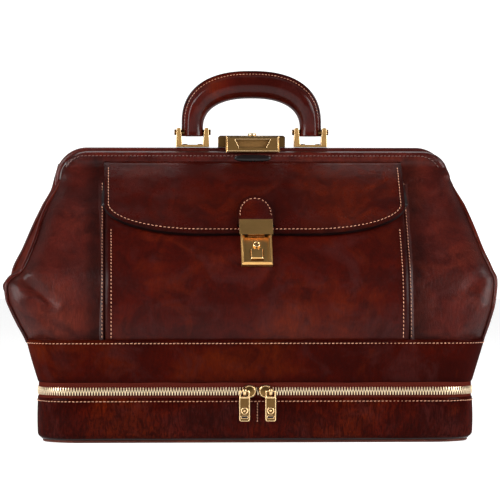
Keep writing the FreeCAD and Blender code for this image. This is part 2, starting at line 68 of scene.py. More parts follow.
# height, half width at the corners, front face, back face, corner radius
BODY = [
    (54.8, 194.8, -100.3, 103.3, 31.0),
    (93.6, 205.1, -102.0, 110.6, 29.0),
    (109.7, 212.0, -101.0, 111.5, 27.0),
    (122.0, 216.0, -99.5, 111.5, 25.0),
    (133.5, 219.5, -97.0, 110.0, 24.0),
    (144.3, 220.0, -94.0, 107.5, 23.0),
    (155.0, 217.0, -89.5, 103.0, 22.0),
    (184.0, 206.0, -69.0, 82.0, 20.0),
    (197.0, 201.5, -59.5, 71.5, 19.0),
    (214.0, 195.0, -46.5, 56.0, 16.0),
    (232.0, 187.8, -32.0, 39.5, 12.0),
    (243.5, 183.5, -23.0, 28.0, 9.0),
    (254.3, 180.0, -15.0, 17.0, 6.0),
]
POCKET_HALF = 137.5
POCKET = [
    (85.0, -108.8),
    (93.6, -110.6),
    (110.0, -113.0),
    (125.0, -113.0),
    (136.0, -111.5),
    (146.0, -109.0),
    (155.0, -105.0),
    (192.0, -77.0),
    (214.0, -57.5),
    (228.0, -45.0),
    (256.2, -17.5),
]
FLAP_HALF = 138.5
FLAP_BOTTOM = 189.6
FLAP_CURVE = 217.0
FLAP_ROUND = 88.0
FLAP_TOP = 256.2
TAB_HALF = 17.2
TAB_ROUND = 205.8
FRONT_TOP = 266.3
REAR_TOP = 270.7
ROLL_LOW = 240.0
HANDLE_Y = 8.5
HANDLE_PIN_Z = 284.9
HANDLE_TOP = 342.9
SLIDER_X = 7.2
PULL_X = 11.8
# the pocket lock's face: its middle, and the directions up along it and out of it
LOCK_MIDDLE = np.array([0.0, -90.92, 173.6])
LOCK_UP = np.array([0.0, 0.6034, 0.7974])
LOCK_OUT = np.array([0.0, -0.7974, 0.6034])


# ------------------------------------------------------------------ curves
def smooth_table(rows):
    """Smooth curve through rows of (height, values...), without overshoot."""
    z = np.array([r[0] for r in rows], float)
    v = np.array([r[1:] for r in rows], float)
    d = np.diff(v, axis=0) / np.diff(z)[:, None]
    m = np.zeros_like(v)
    m[0] = d[0]
    m[-1] = d[-1]
    total = d[:-1] + d[1:]
    same = d[:-1] * d[1:] > 0
    m[1:-1] = np.where(same, 2 * d[:-1] * d[1:] / np.where(same, total, 1.0), 0.0)

    def at(q):
        q = np.clip(np.asarray(q, float), z[0], z[-1])
        i = np.clip(np.searchsorted(z, q, side="right") - 1, 0, len(z) - 2)
        h = (z[i + 1] - z[i])[..., None]
        t = (q - z[i])[..., None] / h
        a = (1 + 2 * t) * (1 - t) ** 2 * v[i] + t * (1 - t) ** 2 * h * m[i]
        b = t * t * (3 - 2 * t) * v[i + 1] + t * t * (t - 1) * h * m[i + 1]
        return a + b

    return at


def smooth_curve(rows):
    """Smooth curve through (height, value) pairs."""
    table = smooth_table(rows)
    return lambda z: table(z)[..., 0]


body_at = smooth_table(BODY)
pocket_y = smooth_curve(POCKET)
front_y = smooth_curve([(row[0], row[2]) for row in BODY] + [
    (258.0, -15.7), (261.5, -15.0), (264.5, -12.8), (266.2, -9.5), (266.7, -6.0),
])
# Half width at the seams, by side and whether at the rear; the bag sags further to its left.
SEAMS = {
    (-1, False): smooth_curve([
        (54.0, 195.5), (93.6, 208.5), (109.0, 216.5), (121.0, 222.0), (132.0, 226.0), (141.0, 227.0),
        (149.0, 222.5), (156.0, 213.5), (173.0, 205.5), (190.0, 199.5), (203.0, 195.5), (217.0, 189.5),
        (234.0, 181.5), (243.0, 178.5), (268.0, 176.0),
    ]),
    (1, False): smooth_curve([
        (54.0, 195.5), (93.6, 207.0), (110.0, 212.0), (130.0, 217.0), (148.0, 219.0), (156.0, 216.0),
        (173.0, 209.0), (190.0, 203.5), (203.0, 199.0), (217.0, 193.8), (234.0, 187.6), (243.0, 185.0),
        (268.0, 176.0),
    ]),
    (-1, True): smooth_curve([
        (54.0, 194.0), (93.6, 205.0), (110.0, 213.0), (130.0, 222.0), (143.0, 227.5), (152.0, 226.5),
        (175.0, 216.0), (198.0, 205.0), (217.0, 195.2), (234.0, 187.8), (243.0, 185.5), (268.0, 178.0),
    ]),
    (1, True): smooth_curve([
        (54.0, 194.0), (93.6, 205.0), (110.0, 211.5), (130.0, 217.0), (146.0, 219.0), (156.0, 216.0),
        (184.0, 206.0), (214.0, 195.0), (232.0, 188.0), (243.0, 184.5), (268.0, 176.0),
    ]),
}
# How deep the gusset is tucked in between the two frame halves, and how far it swells out lower down.
valley = smooth_curve([
    (54.0, 0.0), (149.0, 0.0), (158.0, 9.0), (172.0, 13.5), (190.0, 13.0), (200.0, 10.5), (214.0, 6.0),
    (232.0, 0.5), (256.0, 0.0),
])
belly = smooth_curve([
    (54.0, 0.3), (93.6, 1.0), (110.0, 3.5), (125.0, 5.0), (140.0, 4.0), (150.0, 3.0), (158.0, 0.0),
    (256.0, 0.0),
])


def ripple(x, y, z, seed, wave, height):
    """Slow unevenness of leather, as a distance along the surface normal."""
    rng = np.random.default_rng(seed)
    out = np.zeros(np.broadcast(x, y, z).shape)
    for _ in range(9):
        k = rng.normal(size=3) / wave * 2.2
        out = out + np.sin(k[0] * x + k[1] * y + k[2] * z + rng.uniform(0, 6.28)) / 3.0
    return out * height


def crease(x, z, start, end, width, depth):
    """Valley (depth above 0) or ridge along a line in the front view."""
    a = np.array(start, float)
    b = np.array(end, float)
    d = b - a
    length = np.hypot(*d)
    u = d / length
    along = (x - a[0]) * u[0] + (z - a[1]) * u[1]
    across = (x - a[0]) * -u[1] + (z - a[1]) * u[0]
    t = np.clip(along / length, 0, 1)
    ends = np.exp(-((np.maximum(0, -along) + np.maximum(0, along - length)) / (width * 1.2)) ** 2)
    return -depth * np.sin(np.pi * (0.12 + 0.76 * t)) * ends * np.exp(-((across / width) ** 2))


# ------------------------------------------------------------------ meshes
def new_object(name, verts, faces):
    mesh = bpy.data.meshes.new(name)
    mesh.from_pydata([tuple(v) for v in verts], [], [tuple(f) for f in faces])
    mesh.validate()
    mesh.polygons.foreach_set("use_smooth", [True] * len(mesh.polygons))
    mesh.update()
    obj = bpy.data.objects.new(name, mesh)
    bpy.context.scene.collection.objects.link(obj)
    return obj


def grid_faces(rows, cols, wrap_rows=False, wrap_cols=False):
    faces = []
    for i in range(rows if wrap_rows else rows - 1):
        for j in range(cols if wrap_cols else cols - 1):
            i2 = (i + 1) % rows
            j2 = (j + 1) % cols
            faces.append((i * cols + j, i2 * cols + j, i2 * cols + j2, i * cols + j2))
    return faces


def paint(obj, edge):
    """Stores the share of darkening at each vertex: burnished rim, and painted shade where a panel adds it; 0
    inside a panel, 1 at its rim.
    """
    layer = obj.data.attributes.new("edge", "FLOAT", "POINT")
    layer.data.foreach_set("value", np.asarray(edge, np.float32).ravel())


def grid(name, points, wrap_rows=False, wrap_cols=False, edge=None, flip=False):
    """Surface from a rows x columns x 3 array in millimetres; edge is what paint() stores."""
    points = np.asarray(points, float)
    faces = grid_faces(*points.shape[:2], wrap_rows, wrap_cols)
    if flip:
        faces = [f[::-1] for f in faces]
    obj = new_object(name, points.reshape(-1, 3) * MM, faces)
    if edge is not None:
        paint(obj, edge)
    return obj


def edit_mesh(obj, change=None):
    """Runs change on the mesh, if given, and turns all faces outwards."""
    bm = bmesh.new()
    bm.from_mesh(obj.data)
    if change:
        change(bm)
    bmesh.ops.recalc_face_normals(bm, faces=bm.faces)
    bm.to_mesh(obj.data)
    bm.free()


def cap(obj, rows, cols):
    """Closes the first and last ring of a tube made by grid()."""
    def close(bm):
        bm.verts.ensure_lookup_table()
        bm.faces.new([bm.verts[j] for j in range(cols)])
        bm.faces.new([bm.verts[(rows - 1) * cols + j] for j in reversed(range(cols))])

    edit_mesh(obj, close)
    obj.data.polygons.foreach_set("use_smooth", [True] * len(obj.data.polygons))


def weld(obj):
    """Joins the points where a surface closes on itself."""
    def join(bm):
        bmesh.ops.remove_doubles(bm, verts=bm.verts, dist=0.00002)
        bmesh.ops.dissolve_degenerate(bm, edges=bm.edges, dist=0.00001)

    edit_mesh(obj, join)


def orient(obj, direction):
    """Turns a sheet's faces so that most of them look along direction."""
    total = sum((f.normal * f.area for f in obj.data.polygons), Vector((0, 0, 0)))
    if total.dot(Vector(direction)) < 0:
        obj.data.flip_normals()


def thicken(obj, thickness, rim=0, bevel=0.0):
    """Gives a sheet its thickness, inwards. rim is the material slot of its rim, bevel the rim's rounding."""
    m = obj.modifiers.new("thickness", "SOLIDIFY")
    m.thickness = thickness * MM
    m.offset = -1
    m.use_even_offset = False
    m.material_offset_rim = rim
    if bevel:
        round_edges(obj, bevel, 50)


def round_edges(obj, width, angle=32, segments=2):
    m = obj.modifiers.new("rounding", "BEVEL")
    m.width = width * MM
    m.segments = segments
    m.limit_method = "ANGLE"
    m.angle_limit = math.radians(angle)
    m.harden_normals = True
    m.use_clamp_overlap = True


def rounded_plan(half_x, half_y, radius, t, front=None, back=None):
    """Points and outward normals of a rounded rectangle; t in 0..1 runs from mid front to the right."""
    front = -half_y if front is None else front
    back = half_y if back is None else back
    r = np.asarray(radius, float)
    flat = np.asarray(half_x, float) - r
    deep = back - front - 2 * r
    arc = r * math.pi / 2
    lengths = (flat, arc, deep, arc, 2 * flat, arc, deep, arc, flat)
    s = np.asarray(t, float) * sum(lengths)
    found = np.zeros((4, *np.broadcast(s, flat).shape))
    x, y, start = 0.0, front, 0.0
    for i, length in enumerate(lengths):
        ax, ay = ((1, 0), (0, 1), (-1, 0), (0, -1), (1, 0))[i // 2]
        d = s - start
        if i % 2:
            c, e = np.cos(d / r), np.sin(d / r)
            nx, ny = ay * c + ax * e, ay * e - ax * c
            here = (x + r * (nx - ay), y + r * (ny + ax), nx, ny)
            x, y = x + r * (ax - ay), y + r * (ax + ay)
        else:
            here = (x + ax * d, y + ay * d, ay + 0 * d, 0 * d - ax)
            x, y = x + ax * length, y + ay * length
        found = np.where((d >= -1e-9) & (d <= length + 1e-9), np.array(here), found)
        start = start + length
    return found


def round_trip(count):
    return np.linspace(0, 1, count, endpoint=False)


def plan_length(half_x, half_y, radius):
    return 4 * (half_x - radius) + 4 * (half_y - radius) + 2 * math.pi * radius


# A stitch's rings: place along it, width and height, as shares of its length and radius
STITCH = (
    (-0.5, 0.35, -0.75), (-0.42, 0.85, -0.2), (-0.15, 1.0, 0.3), (0.15, 1.0, 0.3), (0.42, 0.85, -0.2),
    (0.5, 0.35, -0.75),
)
STITCH_SIDES = 6


def stitches(name, lines, look, body, pitch=3.5, length=2.25, radius=0.38):
    """Rows of thread. Each line is (points, outward normals) in millimetres."""
    ring = [(k, (k + 1) % STITCH_SIDES) for k in range(STITCH_SIDES)]
    starts = [i * STITCH_SIDES for i in range(len(STITCH))]
    tube = [(i + k, i + k2, j + k2, j + k) for i, j in zip(starts, starts[1:]) for k, k2 in ring]
    tube += [tuple(reversed(range(STITCH_SIDES))), tuple(starts[-1] + k for k in range(STITCH_SIDES))]
    verts = []
    faces = []
    rng = np.random.default_rng(5)
    for points, normals in lines:
        points = np.asarray(points, float)
        normals = np.asarray(normals, float)
        along = np.concatenate([[0], np.cumsum(np.linalg.norm(np.diff(points, axis=0), axis=1))])

        def at(values, c):
            return np.array([np.interp(c, along, values[:, k]) for k in range(3)])

        count = max(2, int(round(along[-1] / pitch)))
        for c in (np.arange(count) + 0.5) * along[-1] / count:
            t = at(points, c + 0.2) - at(points, c - 0.2)
            t /= np.linalg.norm(t) + 1e-9
            n = at(normals, c)
            n -= t * (t @ n)
            n /= np.linalg.norm(n) + 1e-9
            slant = math.radians(7 + rng.normal() * 3)
            t = t * math.cos(slant) + np.cross(n, t) * math.sin(slant)
            b = np.cross(n, t)
            faces += [tuple(len(verts) + k for k in f) for f in tube]
            for place, wide, up in STITCH:
                middle = at(points, c) + t * place * length + n * up * radius
                for k in range(STITCH_SIDES):
                    a = 2 * math.pi * k / STITCH_SIDES
                    verts.append(middle + (b * math.cos(a) + n * math.sin(a)) * wide * radius)
    obj = new_object(name, np.array(verts) * MM, faces)
    dress(obj, look)
    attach(obj, body)


def sweep(name, path, normals, section, closed=False):
    """Tube whose section (across, out) is carried along the path; normals give the 'out' direction."""
    path = np.asarray(path, float)
    normals = np.asarray(normals, float)
    tangent = np.gradient(path, axis=0)
    if closed:
        tangent = np.roll(path, -1, 0) - np.roll(path, 1, 0)
    tangent /= np.linalg.norm(tangent, axis=1)[:, None] + 1e-9
    side = np.cross(tangent, normals)
    side /= np.linalg.norm(side, axis=1)[:, None] + 1e-9
    out = np.cross(side, tangent)
    section = np.asarray(section, float)
    if section.ndim == 2:
        section = np.repeat(section[None], len(path), 0)
    points = path[:, None] + side[:, None] * section[:, :, :1] + out[:, None] * section[:, :, 1:]
    obj = grid(name, points, wrap_rows=closed, wrap_cols=True)
    if closed:
        edit_mesh(obj)
    else:
        cap(obj, *points.shape[:2])
    return obj


def superellipse(a, b, power, count):
    t = np.linspace(0, 2 * math.pi, count, endpoint=False)
    c, s = np.cos(t), np.sin(t)
    return np.stack([a * np.sign(c) * np.abs(c) ** (2 / power), b * np.sign(s) * np.abs(s) ** (2 / power)], 1)


def block(name, corners, bevel, body, look):
    """Box with rounded edges from two opposite corners."""
    (x0, y0, z0), (x1, y1, z1) = corners
    v = [(x, y, z) for z in (z0, z1) for y in (y0, y1) for x in (x0, x1)]
    f = [(0, 2, 3, 1), (4, 5, 7, 6), (0, 1, 5, 4), (2, 6, 7, 3), (0, 4, 6, 2), (1, 3, 7, 5)]
    obj = new_object(name, np.array(v) * MM, f)
    round_edges(obj, bevel, 30, 3)
    dress(obj, look)
    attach(obj, body)


def dress(obj, *looks):
    obj.data.materials.clear()
    for look in looks:
        obj.data.materials.append(look)


# ------------------------------------------------------------------ materials
def connect(t, node, **inputs):
    """Gives inputs (named with _ for a space) another node's output, or a value of their own."""
    for name, value in inputs.items():
        feed(t, node.inputs[name.replace("_", " ")], value)


def feed(t, socket, value):
    if hasattr(value, "links"):
        t.links.new(value, socket)
    else:
        socket.default_value = (*value, 1.0) if socket.type == "RGBA" else value


def new_node(t, kind, **inputs):
    node = t.nodes.new("ShaderNode" + kind)
    connect(t, node, **inputs)
    return node


def material(name):
    m = bpy.data.materials.new(name)
    m.use_nodes = True
    t = m.node_tree
    t.nodes.clear()
    shader = new_node(t, "BsdfPrincipled")
    new_node(t, "OutputMaterial", Surface=shader.outputs[0])
    return m, t, shader, new_node(t, "TexCoord").outputs["Object"]


def mapped(t, coords, scale=(1, 1, 1), turn=(0, 0, 0), place=(0, 0, 0)):
    return new_node(t, "Mapping", Vector=coords, Scale=scale, Rotation=turn, Location=place).outputs[0]


def noise(t, coords, scale, detail=3.0, rough=0.55, distort=0.0):
    node = new_node(t, "TexNoise", Vector=coords, Scale=scale, Detail=detail)
    connect(t, node, Roughness=rough, Distortion=distort)
    return node.outputs["Fac"]


def waves(t, coords, scale, distort):
    return new_node(t, "TexWave", Vector=coords, Scale=scale, Distortion=distort).outputs["Fac"]


def ramp(t, value, stops):
    node = new_node(t, "ValToRGB", Fac=value)
    elements = node.color_ramp.elements
    while len(elements) < len(stops):
        elements.new(0.5)
    for element, (place, colour) in zip(elements, stops):
        element.position = place
        element.color = (*colour, 1.0)
    return node.outputs[0]


def mix(t, factor, a, b):
    node = new_node(t, "Mix")
    node.data_type = "RGBA"
    for k, value in ((0, factor), (6, a), (7, b)):
        feed(t, node.inputs[k], value)
    return node.outputs[2]


def arithmetic(t, operation, a, b):
    node = new_node(t, "Math")
    node.operation = operation
    feed(t, node.inputs[0], a)
    feed(t, node.inputs[1], b)
    return node.outputs[0]


def tint(t, colour, share, amount, towards):
    """Moves a colour towards another where share is high."""
    return mix(t, arithmetic(t, "MULTIPLY", share, amount), colour, towards)


def spots(t, value, low, high):
    """0 below low, 1 above high."""
    return ramp(t, value, [(low, BLACK), (high, WHITE)])


def span(t, value, low, high):
    return new_node(t, "MapRange", Value=value, To_Min=low, To_Max=high).outputs[0]


def bump(t, height, strength, distance, **normal):
    return new_node(t, "Bump", Height=height, Strength=strength, Distance=distance, **normal).outputs[0]


def times(colour, factor):
    return tuple(c * factor for c in colour)


def leather(name, dark, middle, warm, gloss=0.3, grain=0.5, wrinkle=0.3, coat=0.05, shine=0.12, offset=0.0):
    """Polished leather with cloudy colour, patches of painted sheen, burnished rims, fine grain and hair
    wrinkles with painted shade in their creases.
    """
    m, t, shader, coords = material(name)
    place = mapped(t, coords, place=(offset, offset * 0.7, offset * 1.3))
    colour = ramp(t, noise(t, place, 9.0, 4.0, 0.6, 0.6), [(0.30, dark), (0.50, middle), (0.68, warm)])
    patches = noise(t, place, 42.0, 5.0, 0.65, 0.8)
    colour = tint(t, colour, spots(t, patches, 0.42, 0.62), 0.8, dark)
    glow = spots(t, noise(t, place, 17.0, 5.0, 0.6, 1.2), 0.52, 0.72)
    colour = tint(t, colour, glow, 0.45, times(warm, 1.35))
    # Painted sheen: in patches the colour moves up to halfway towards a paler grey-pink, standing in for soft
    # reflections.
    sheen_patches = spots(t, noise(t, place, 26.0, 6.0, 0.7, 0.9), 0.50, 0.66)
    painted_sheen = tuple(0.62 * c + d for c, d in zip(middle, (0.016, 0.0085, 0.0085)))
    colour = tint(t, colour, sheen_patches, 0.5, painted_sheen)
    specks = noise(t, place, 700.0, 2.0, 0.6)
    colour = mix(t, span(t, specks, 0.0, 0.22), colour, times(middle, 1.7))
    hairs = noise(t, mapped(t, coords, (1.0, 1.0, 0.25)), 330.0, 6.0, 0.65, 1.4)
    # Painted shade: the colour darkens in the creases of the hair wrinkles.
    crease_shade = ramp(t, hairs, [(0.40, WHITE), (0.58, BLACK)])
    colour = tint(t, colour, crease_shade, min(0.75, 0.2 + 0.25 * wrinkle), times(dark, 0.7))
    # Darkening by the stored edge share: burnished rims, and on the front panel the painted shade beside the
    # pocket.
    rim = new_node(t, "Attribute")
    rim.attribute_name = "edge"
    burnish_and_shade = arithmetic(t, "MULTIPLY", rim.outputs["Fac"], span(t, patches, 0.55, 1.0))
    colour = mix(t, burnish_and_shade, colour, times(dark, 0.3))
    cells = new_node(t, "TexVoronoi", Vector=coords, Scale=780.0)
    cells.feature = "DISTANCE_TO_EDGE"
    pebbles = spots(t, cells.outputs["Distance"], 0.0, 0.22)
    normal = bump(t, noise(t, place, 55.0, 3.0, 0.5), 0.12 + 0.25 * wrinkle, 0.0022)
    normal = bump(t, hairs, wrinkle, 0.0007, Normal=normal)
    normal = bump(t, pebbles, grain * 0.45, 0.00022, Normal=normal)
    rough = arithmetic(t, "ADD", span(t, patches, gloss - 0.06, gloss + 0.12), span(t, specks, -0.05, 0.05))
    connect(t, shader, Base_Color=colour, Normal=normal, Roughness=rough, Specular_IOR_Level=shine)
    connect(t, shader, Coat_Weight=coat, Coat_Roughness=0.16, Coat_IOR=1.45)
    return m


def metal(name, bright, dull, rough, wear=0.5):
    """Plated metal, a little cloudy, with fine scratches and dirt in the corners."""
    m, t, shader, coords = material(name)
    clouds = noise(t, coords, 180.0, 4.0, 0.6, 0.5)
    hollow = new_node(t, "AmbientOcclusion", Distance=0.004)
    hollow.samples = 8
    dirt = ramp(t, hollow.outputs["AO"], [(0.25, WHITE), (0.8, BLACK)])
    colour = tint(t, mix(t, span(t, clouds, 0.0, 0.75), bright, dull), dirt, wear, times(dull, 0.22))
    lines = noise(t, mapped(t, coords, (1, 1, 9)), 900.0, 3.0, 0.6)
    connect(t, shader, Base_Color=colour, Metallic=1.0, Normal=bump(t, lines, 0.25, 0.00008))
    connect(t, shader, Roughness=span(t, clouds, rough - 0.07, rough + 0.16), Anisotropic=0.2)
    return m


def thread(name, light, dark):
    m, t, shader, coords = material(name)
    twist = waves(t, mapped(t, coords, turn=(0.6, 0.5, 0.7)), 900.0, 1.5)
    colour = mix(t, span(t, noise(t, coords, 60.0, 3.0), 0.0, 0.9), light, dark)
    connect(t, shader, Base_Color=colour, Normal=bump(t, twist, 0.5, 0.0001))
    connect(t, shader, Roughness=0.55, Sheen_Weight=0.3)
    return m


def woven(name, a, b, scale=1400.0, sheen=0.25, shine=0.3):
    m, t, shader, coords = material(name)
    turns = ((0, 0, 0), (0, 1.5708, 0))
    weave = arithmetic(t, "MULTIPLY", *(waves(t, mapped(t, coords, turn=turn), scale, 0.4) for turn in turns))
    colour = mix(t, span(t, noise(t, coords, 30.0, 4.0), 0.1, 0.8), a, b)
    colour = tint(t, colour, weave, 0.4, times(b, 0.5))
    connect(t, shader, Base_Color=colour, Normal=bump(t, weave, 0.5, 0.0002), Roughness=0.85)
    connect(t, shader, Sheen_Weight=sheen, Specular_IOR_Level=shine)
    return m


def pale_paper(name, light):
    m, t, shader, coords = material(name)
    colour = mix(t, span(t, noise(t, coords, 2.0, 3.0), 0.0, 0.3), (0.44, 0.44, 0.44), (0.41, 0.41, 0.41))
    connect(t, shader, Base_Color=colour, Roughness=0.8, Specular_IOR_Level=0.1)
    connect(t, shader, Emission_Color=WHITE, Emission_Strength=light)
    return m


DARK = (0.016, 0.0015, 0.0010)
MIDDLE = (0.058, 0.0044, 0.0022)
WARM = (0.105, 0.0120, 0.0032)
# leather_front, leather_gusset, leather_base, leather_band and leather_flap are darker copies of one leather:
# their lower colours paint shade onto those parts.
hide_front = leather(
    "leather_front", DARK, (0.042, 0.0030, 0.0014), (0.084, 0.0090, 0.0022),
    coat=0.04, shine=0.07,
)
hide_side = leather(
    "leather_side", DARK, (0.062, 0.0075, 0.0048), (0.085, 0.0130, 0.0065),
    wrinkle=0.45, offset=3.1,
)
hide_gusset = leather(
    "leather_gusset", DARK, (0.044, 0.0036, 0.0020), (0.075, 0.0090, 0.0035),
    wrinkle=0.5, coat=0.03, shine=0.0, offset=6.3,
)
hide_back = leather("leather_back", DARK, MIDDLE, WARM, wrinkle=0.4, offset=7.3)
hide_base = leather(
    "leather_base", DARK, (0.048, 0.0032, 0.0012), (0.085, 0.0090, 0.0018),
    grain=1.6, wrinkle=2.2, shine=0.0, offset=5.7,
)
hide_band = leather(
    "leather_band", DARK, (0.034, 0.0022, 0.0009), (0.066, 0.0072, 0.0014),
    gloss=0.25, wrinkle=0.25, coat=0.03, shine=0.0, offset=9.2,
)
hide_flap = leather(
    "leather_flap", DARK, (0.036, 0.0024, 0.0010), (0.068, 0.0070, 0.0018),
    gloss=0.26, wrinkle=0.2, shine=0.08, offset=1.7,
)
hide_roll = leather(
    "leather_roll", DARK, (0.058, 0.0060, 0.0036), (0.085, 0.0110, 0.0050),
    gloss=0.26, coat=0.16, offset=4.4,
)
hide_handle = leather(
    "leather_handle", DARK, (0.050, 0.0040, 0.0020), (0.085, 0.0100, 0.0030),
    gloss=0.22, wrinkle=0.1, coat=0.42, shine=0.0, offset=8.1,
)
# Near-black edge paint for cut rims; on the pocket's bellows and in the pulls' slots it is painted shade.
edge_paint_and_shade = leather(
    "leather_edge_and_shade", (0.006, 0.002, 0.002), (0.010, 0.003, 0.003), (0.016, 0.005, 0.004),
    gloss=0.35, grain=0.3, wrinkle=0.1, coat=0.3,
)
hide_black = leather(
    "lacquer_black", (0.004, 0.003, 0.003), (0.006, 0.004, 0.004), (0.010, 0.006, 0.006),
    gloss=0.2, grain=0.0, wrinkle=0.0, coat=0.35, shine=0.1,
)
hide_under = leather(
    "leather_under", (0.045, 0.010, 0.006), (0.085, 0.018, 0.010), (0.12, 0.03, 0.015),
    gloss=0.5, coat=0.1, offset=2.2,
)
brass = metal("brass", (0.85, 0.50, 0.18), (0.60, 0.31, 0.09), 0.28)
# Darker copy of the brass; on the lock case it paints the shade of the case's front face.
brass_dark = metal("brass_darker", (0.23, 0.125, 0.04), (0.12, 0.062, 0.02), 0.26, wear=0.7)
# Lighter copy of the brass; on bevelled edges and on the sliders' and pulls' rims it paints highlights.
brass_bright = metal("brass_bright", (0.95, 0.70, 0.40), (0.78, 0.48, 0.20), 0.2, wear=0.3)
plate_brass = metal("brass_plate", (0.30, 0.165, 0.055), (0.17, 0.09, 0.028), 0.3)
bronze = metal("bronze_dark", (0.30, 0.16, 0.055), (0.17, 0.085, 0.028), 0.42)
zip_metal = metal("zip_metal", (0.95, 0.78, 0.55), (0.72, 0.52, 0.30), 0.3, wear=0.7)
steel = metal("frame_steel", (0.5, 0.5, 0.5), (0.32, 0.31, 0.3), 0.3)
tan_thread = thread("thread_tan", (0.62, 0.29, 0.16), (0.34, 0.12, 0.06))
dark_thread = thread("thread_dark", (0.12, 0.035, 0.02), (0.05, 0.014, 0.009))
tape_cloth = woven("zip_tape", (0.085, 0.014, 0.009), (0.050, 0.0075, 0.005), 2200.0, 0.0, 0.0)
lining_cloth = woven("lining_cloth", (0.34, 0.22, 0.11), (0.24, 0.15, 0.075))
board_cover = woven("board_cover", (0.28, 0.18, 0.09), (0.20, 0.125, 0.06))


# ------------------------------------------------------------------ upper bag
def arch_limit(z, half, top, radius):
    """Half width of an arch with two round top corners, above its straight legs."""
    d = np.clip(z - (top - radius), 0, radius)
    low = np.maximum(top - radius - z, 0)
    return half - radius + np.sqrt(np.maximum(radius * radius - d * d, 0)) + 0.43 * low + 0.0014 * low**2


def seam(z, side, rear):
    """Half width of the bag at its corner seams."""
    return SEAMS[side, rear](z)


def corner_depth(z):
    """How far the panels turn towards the gusset at their seams; most where they enter the round band."""
    return 7.5 + 9.0 * np.clip((122 - z) / 26, 0, 1) - 5.2 * np.clip((z - 236) / 10, 0, 1)


def turned_edge(s, hx, z):
    """How far a panel turns back at a point, and how far its surface leans outwards there."""
    wide = 15 + 15 * np.clip((122 - z) / 26, 0, 1)
    t = np.clip((s * hx - hx + wide) / wide, 0, 1)
    return corner_depth(z) * t**2.2, 1.3 * t**1.2


def swell(x, z, middle_x, middle_z, wide, high, amount):
    """Round swelling (amount above 0) or dent, seen from the front."""
    return amount * np.exp(-(((x - middle_x) / wide) ** 2) - ((z - middle_z) / high) ** 2)


def pushed(x, y, z, lean, face, distance):
    """Points moved along a normal that looks to the front (-1) or the back (1) and leans sideways."""
    n = np.stack([lean, np.full_like(lean, face), np.full_like(lean, 0.35)], -1)
    n /= np.linalg.norm(n, axis=-1)[..., None]
    return np.stack([x, y, z + 0 * x], -1) + n * distance[..., None]


def front_point(u, z, lift=0.0):
    """Outer face of the front panel and the roll above it; u is -1 at the left seam and 1 at the right."""
    hx = np.where(u < 0, seam(z, -1, False), seam(z, 1, False))
    hx = np.minimum(hx, arch_limit(z, np.where(u < 0, 178.9, 184.9), FRONT_TOP + 0.5, 26.0))
    back, lean = turned_edge(np.abs(u), hx, z)
    x = u * hx
    y = front_y(z) + back
    d = ripple(x, y, z, 11, 60.0, 0.5)
    d = d + crease(x, z, (-219, 154), (-184, 126), 4.6, 4.2) + crease(x, z, (212, 152), (188, 138), 7.0, 2.2)
    d = d + swell(x, z, -206, 130, 15, 11, 2.6) + swell(x, z, -178, 119, 10, 16, 1.8)
    d = d + swell(x, z, 186, 125, 13, 12, 1.3) + swell(np.abs(x), z, 158, 226, 16, 17, -2.6)
    d = d * np.clip((z - 94) / 12, 0, 1) * np.clip((252 - z) / 16, 0, 1)
    return pushed(x, y, z, np.sign(u) * lean, -1.0, d + lift)


def rear_seam(z, side):
    return np.minimum(seam(z, side, True), arch_limit(z, 185.5, REAR_TOP, 30.0) + 1.0)


def back_point(u, z, lift=0.0):
    """Outer face of the back panel; u is -1 at the bag's right seam and 1 at its left seam."""
    hx = np.where(u > 0, rear_seam(z, -1), rear_seam(z, 1))
    back, lean = turned_edge(np.abs(u), hx, z)
    x = -u * hx
    y = body_at(z)[..., 2] - back
    d = ripple(x, y, z, 23, 60.0, 0.6) + swell(np.abs(x), z, 186, 138, 20, 9, -2.2)
    d = d * np.clip((z - 94) / 12, 0, 1) * np.clip((250 - z) / 20, 0, 1)
    return pushed(x, y, z, -np.sign(u) * lean, 1.0, d + lift)


def side_point(side, u, z):
    """Outer face of a gusset; u runs from the front seam (0) to the rear seam (1)."""
    xf = np.minimum(seam(z, side, False), arch_limit(z, 181.5 + 3.0 * side, REAR_TOP, 30.0))
    back = corner_depth(z)
    yf = front_y(z) + back
    yb = body_at(z)[..., 2] - back
    x = xf + (rear_seam(z, side) - xf) * u
    y = yf + (yb - yf) * u
    full = 1 - np.abs(2 * u - 1) ** 2.4
    fold = np.exp(-(((u - 0.5) / 0.2) ** 2)) * 0.6 + 0.4 * full
    d = belly(z) * full - valley(z) * fold * full**0.3
    d = d + 1.6 * full * np.exp(-(((z - 141 - 0.08 * y) / 5) ** 2))
    d = d - 1.6 * full * np.exp(-(((z - 126 + 0.06 * y) / 6) ** 2))
    d = d + ripple(x * side, y, z, 31 if side > 0 else 37, 38.0, 0.9) * full
    d = d * np.clip((z - 94) / 14, 0, 1)
    return np.stack([side * (x + d), y, z + 0 * x], -1)


def rim_fade(u, v, wide_u, wide_v):
    """1 at a panel's rim, falling to 0 inside."""
    a = np.clip(1 - (1 - np.abs(u)) / wide_u, 0, 1)
    b = np.clip(1 - (1 - np.abs(v)) / wide_v, 0, 1)
    return np.maximum(a, b) ** 1.6


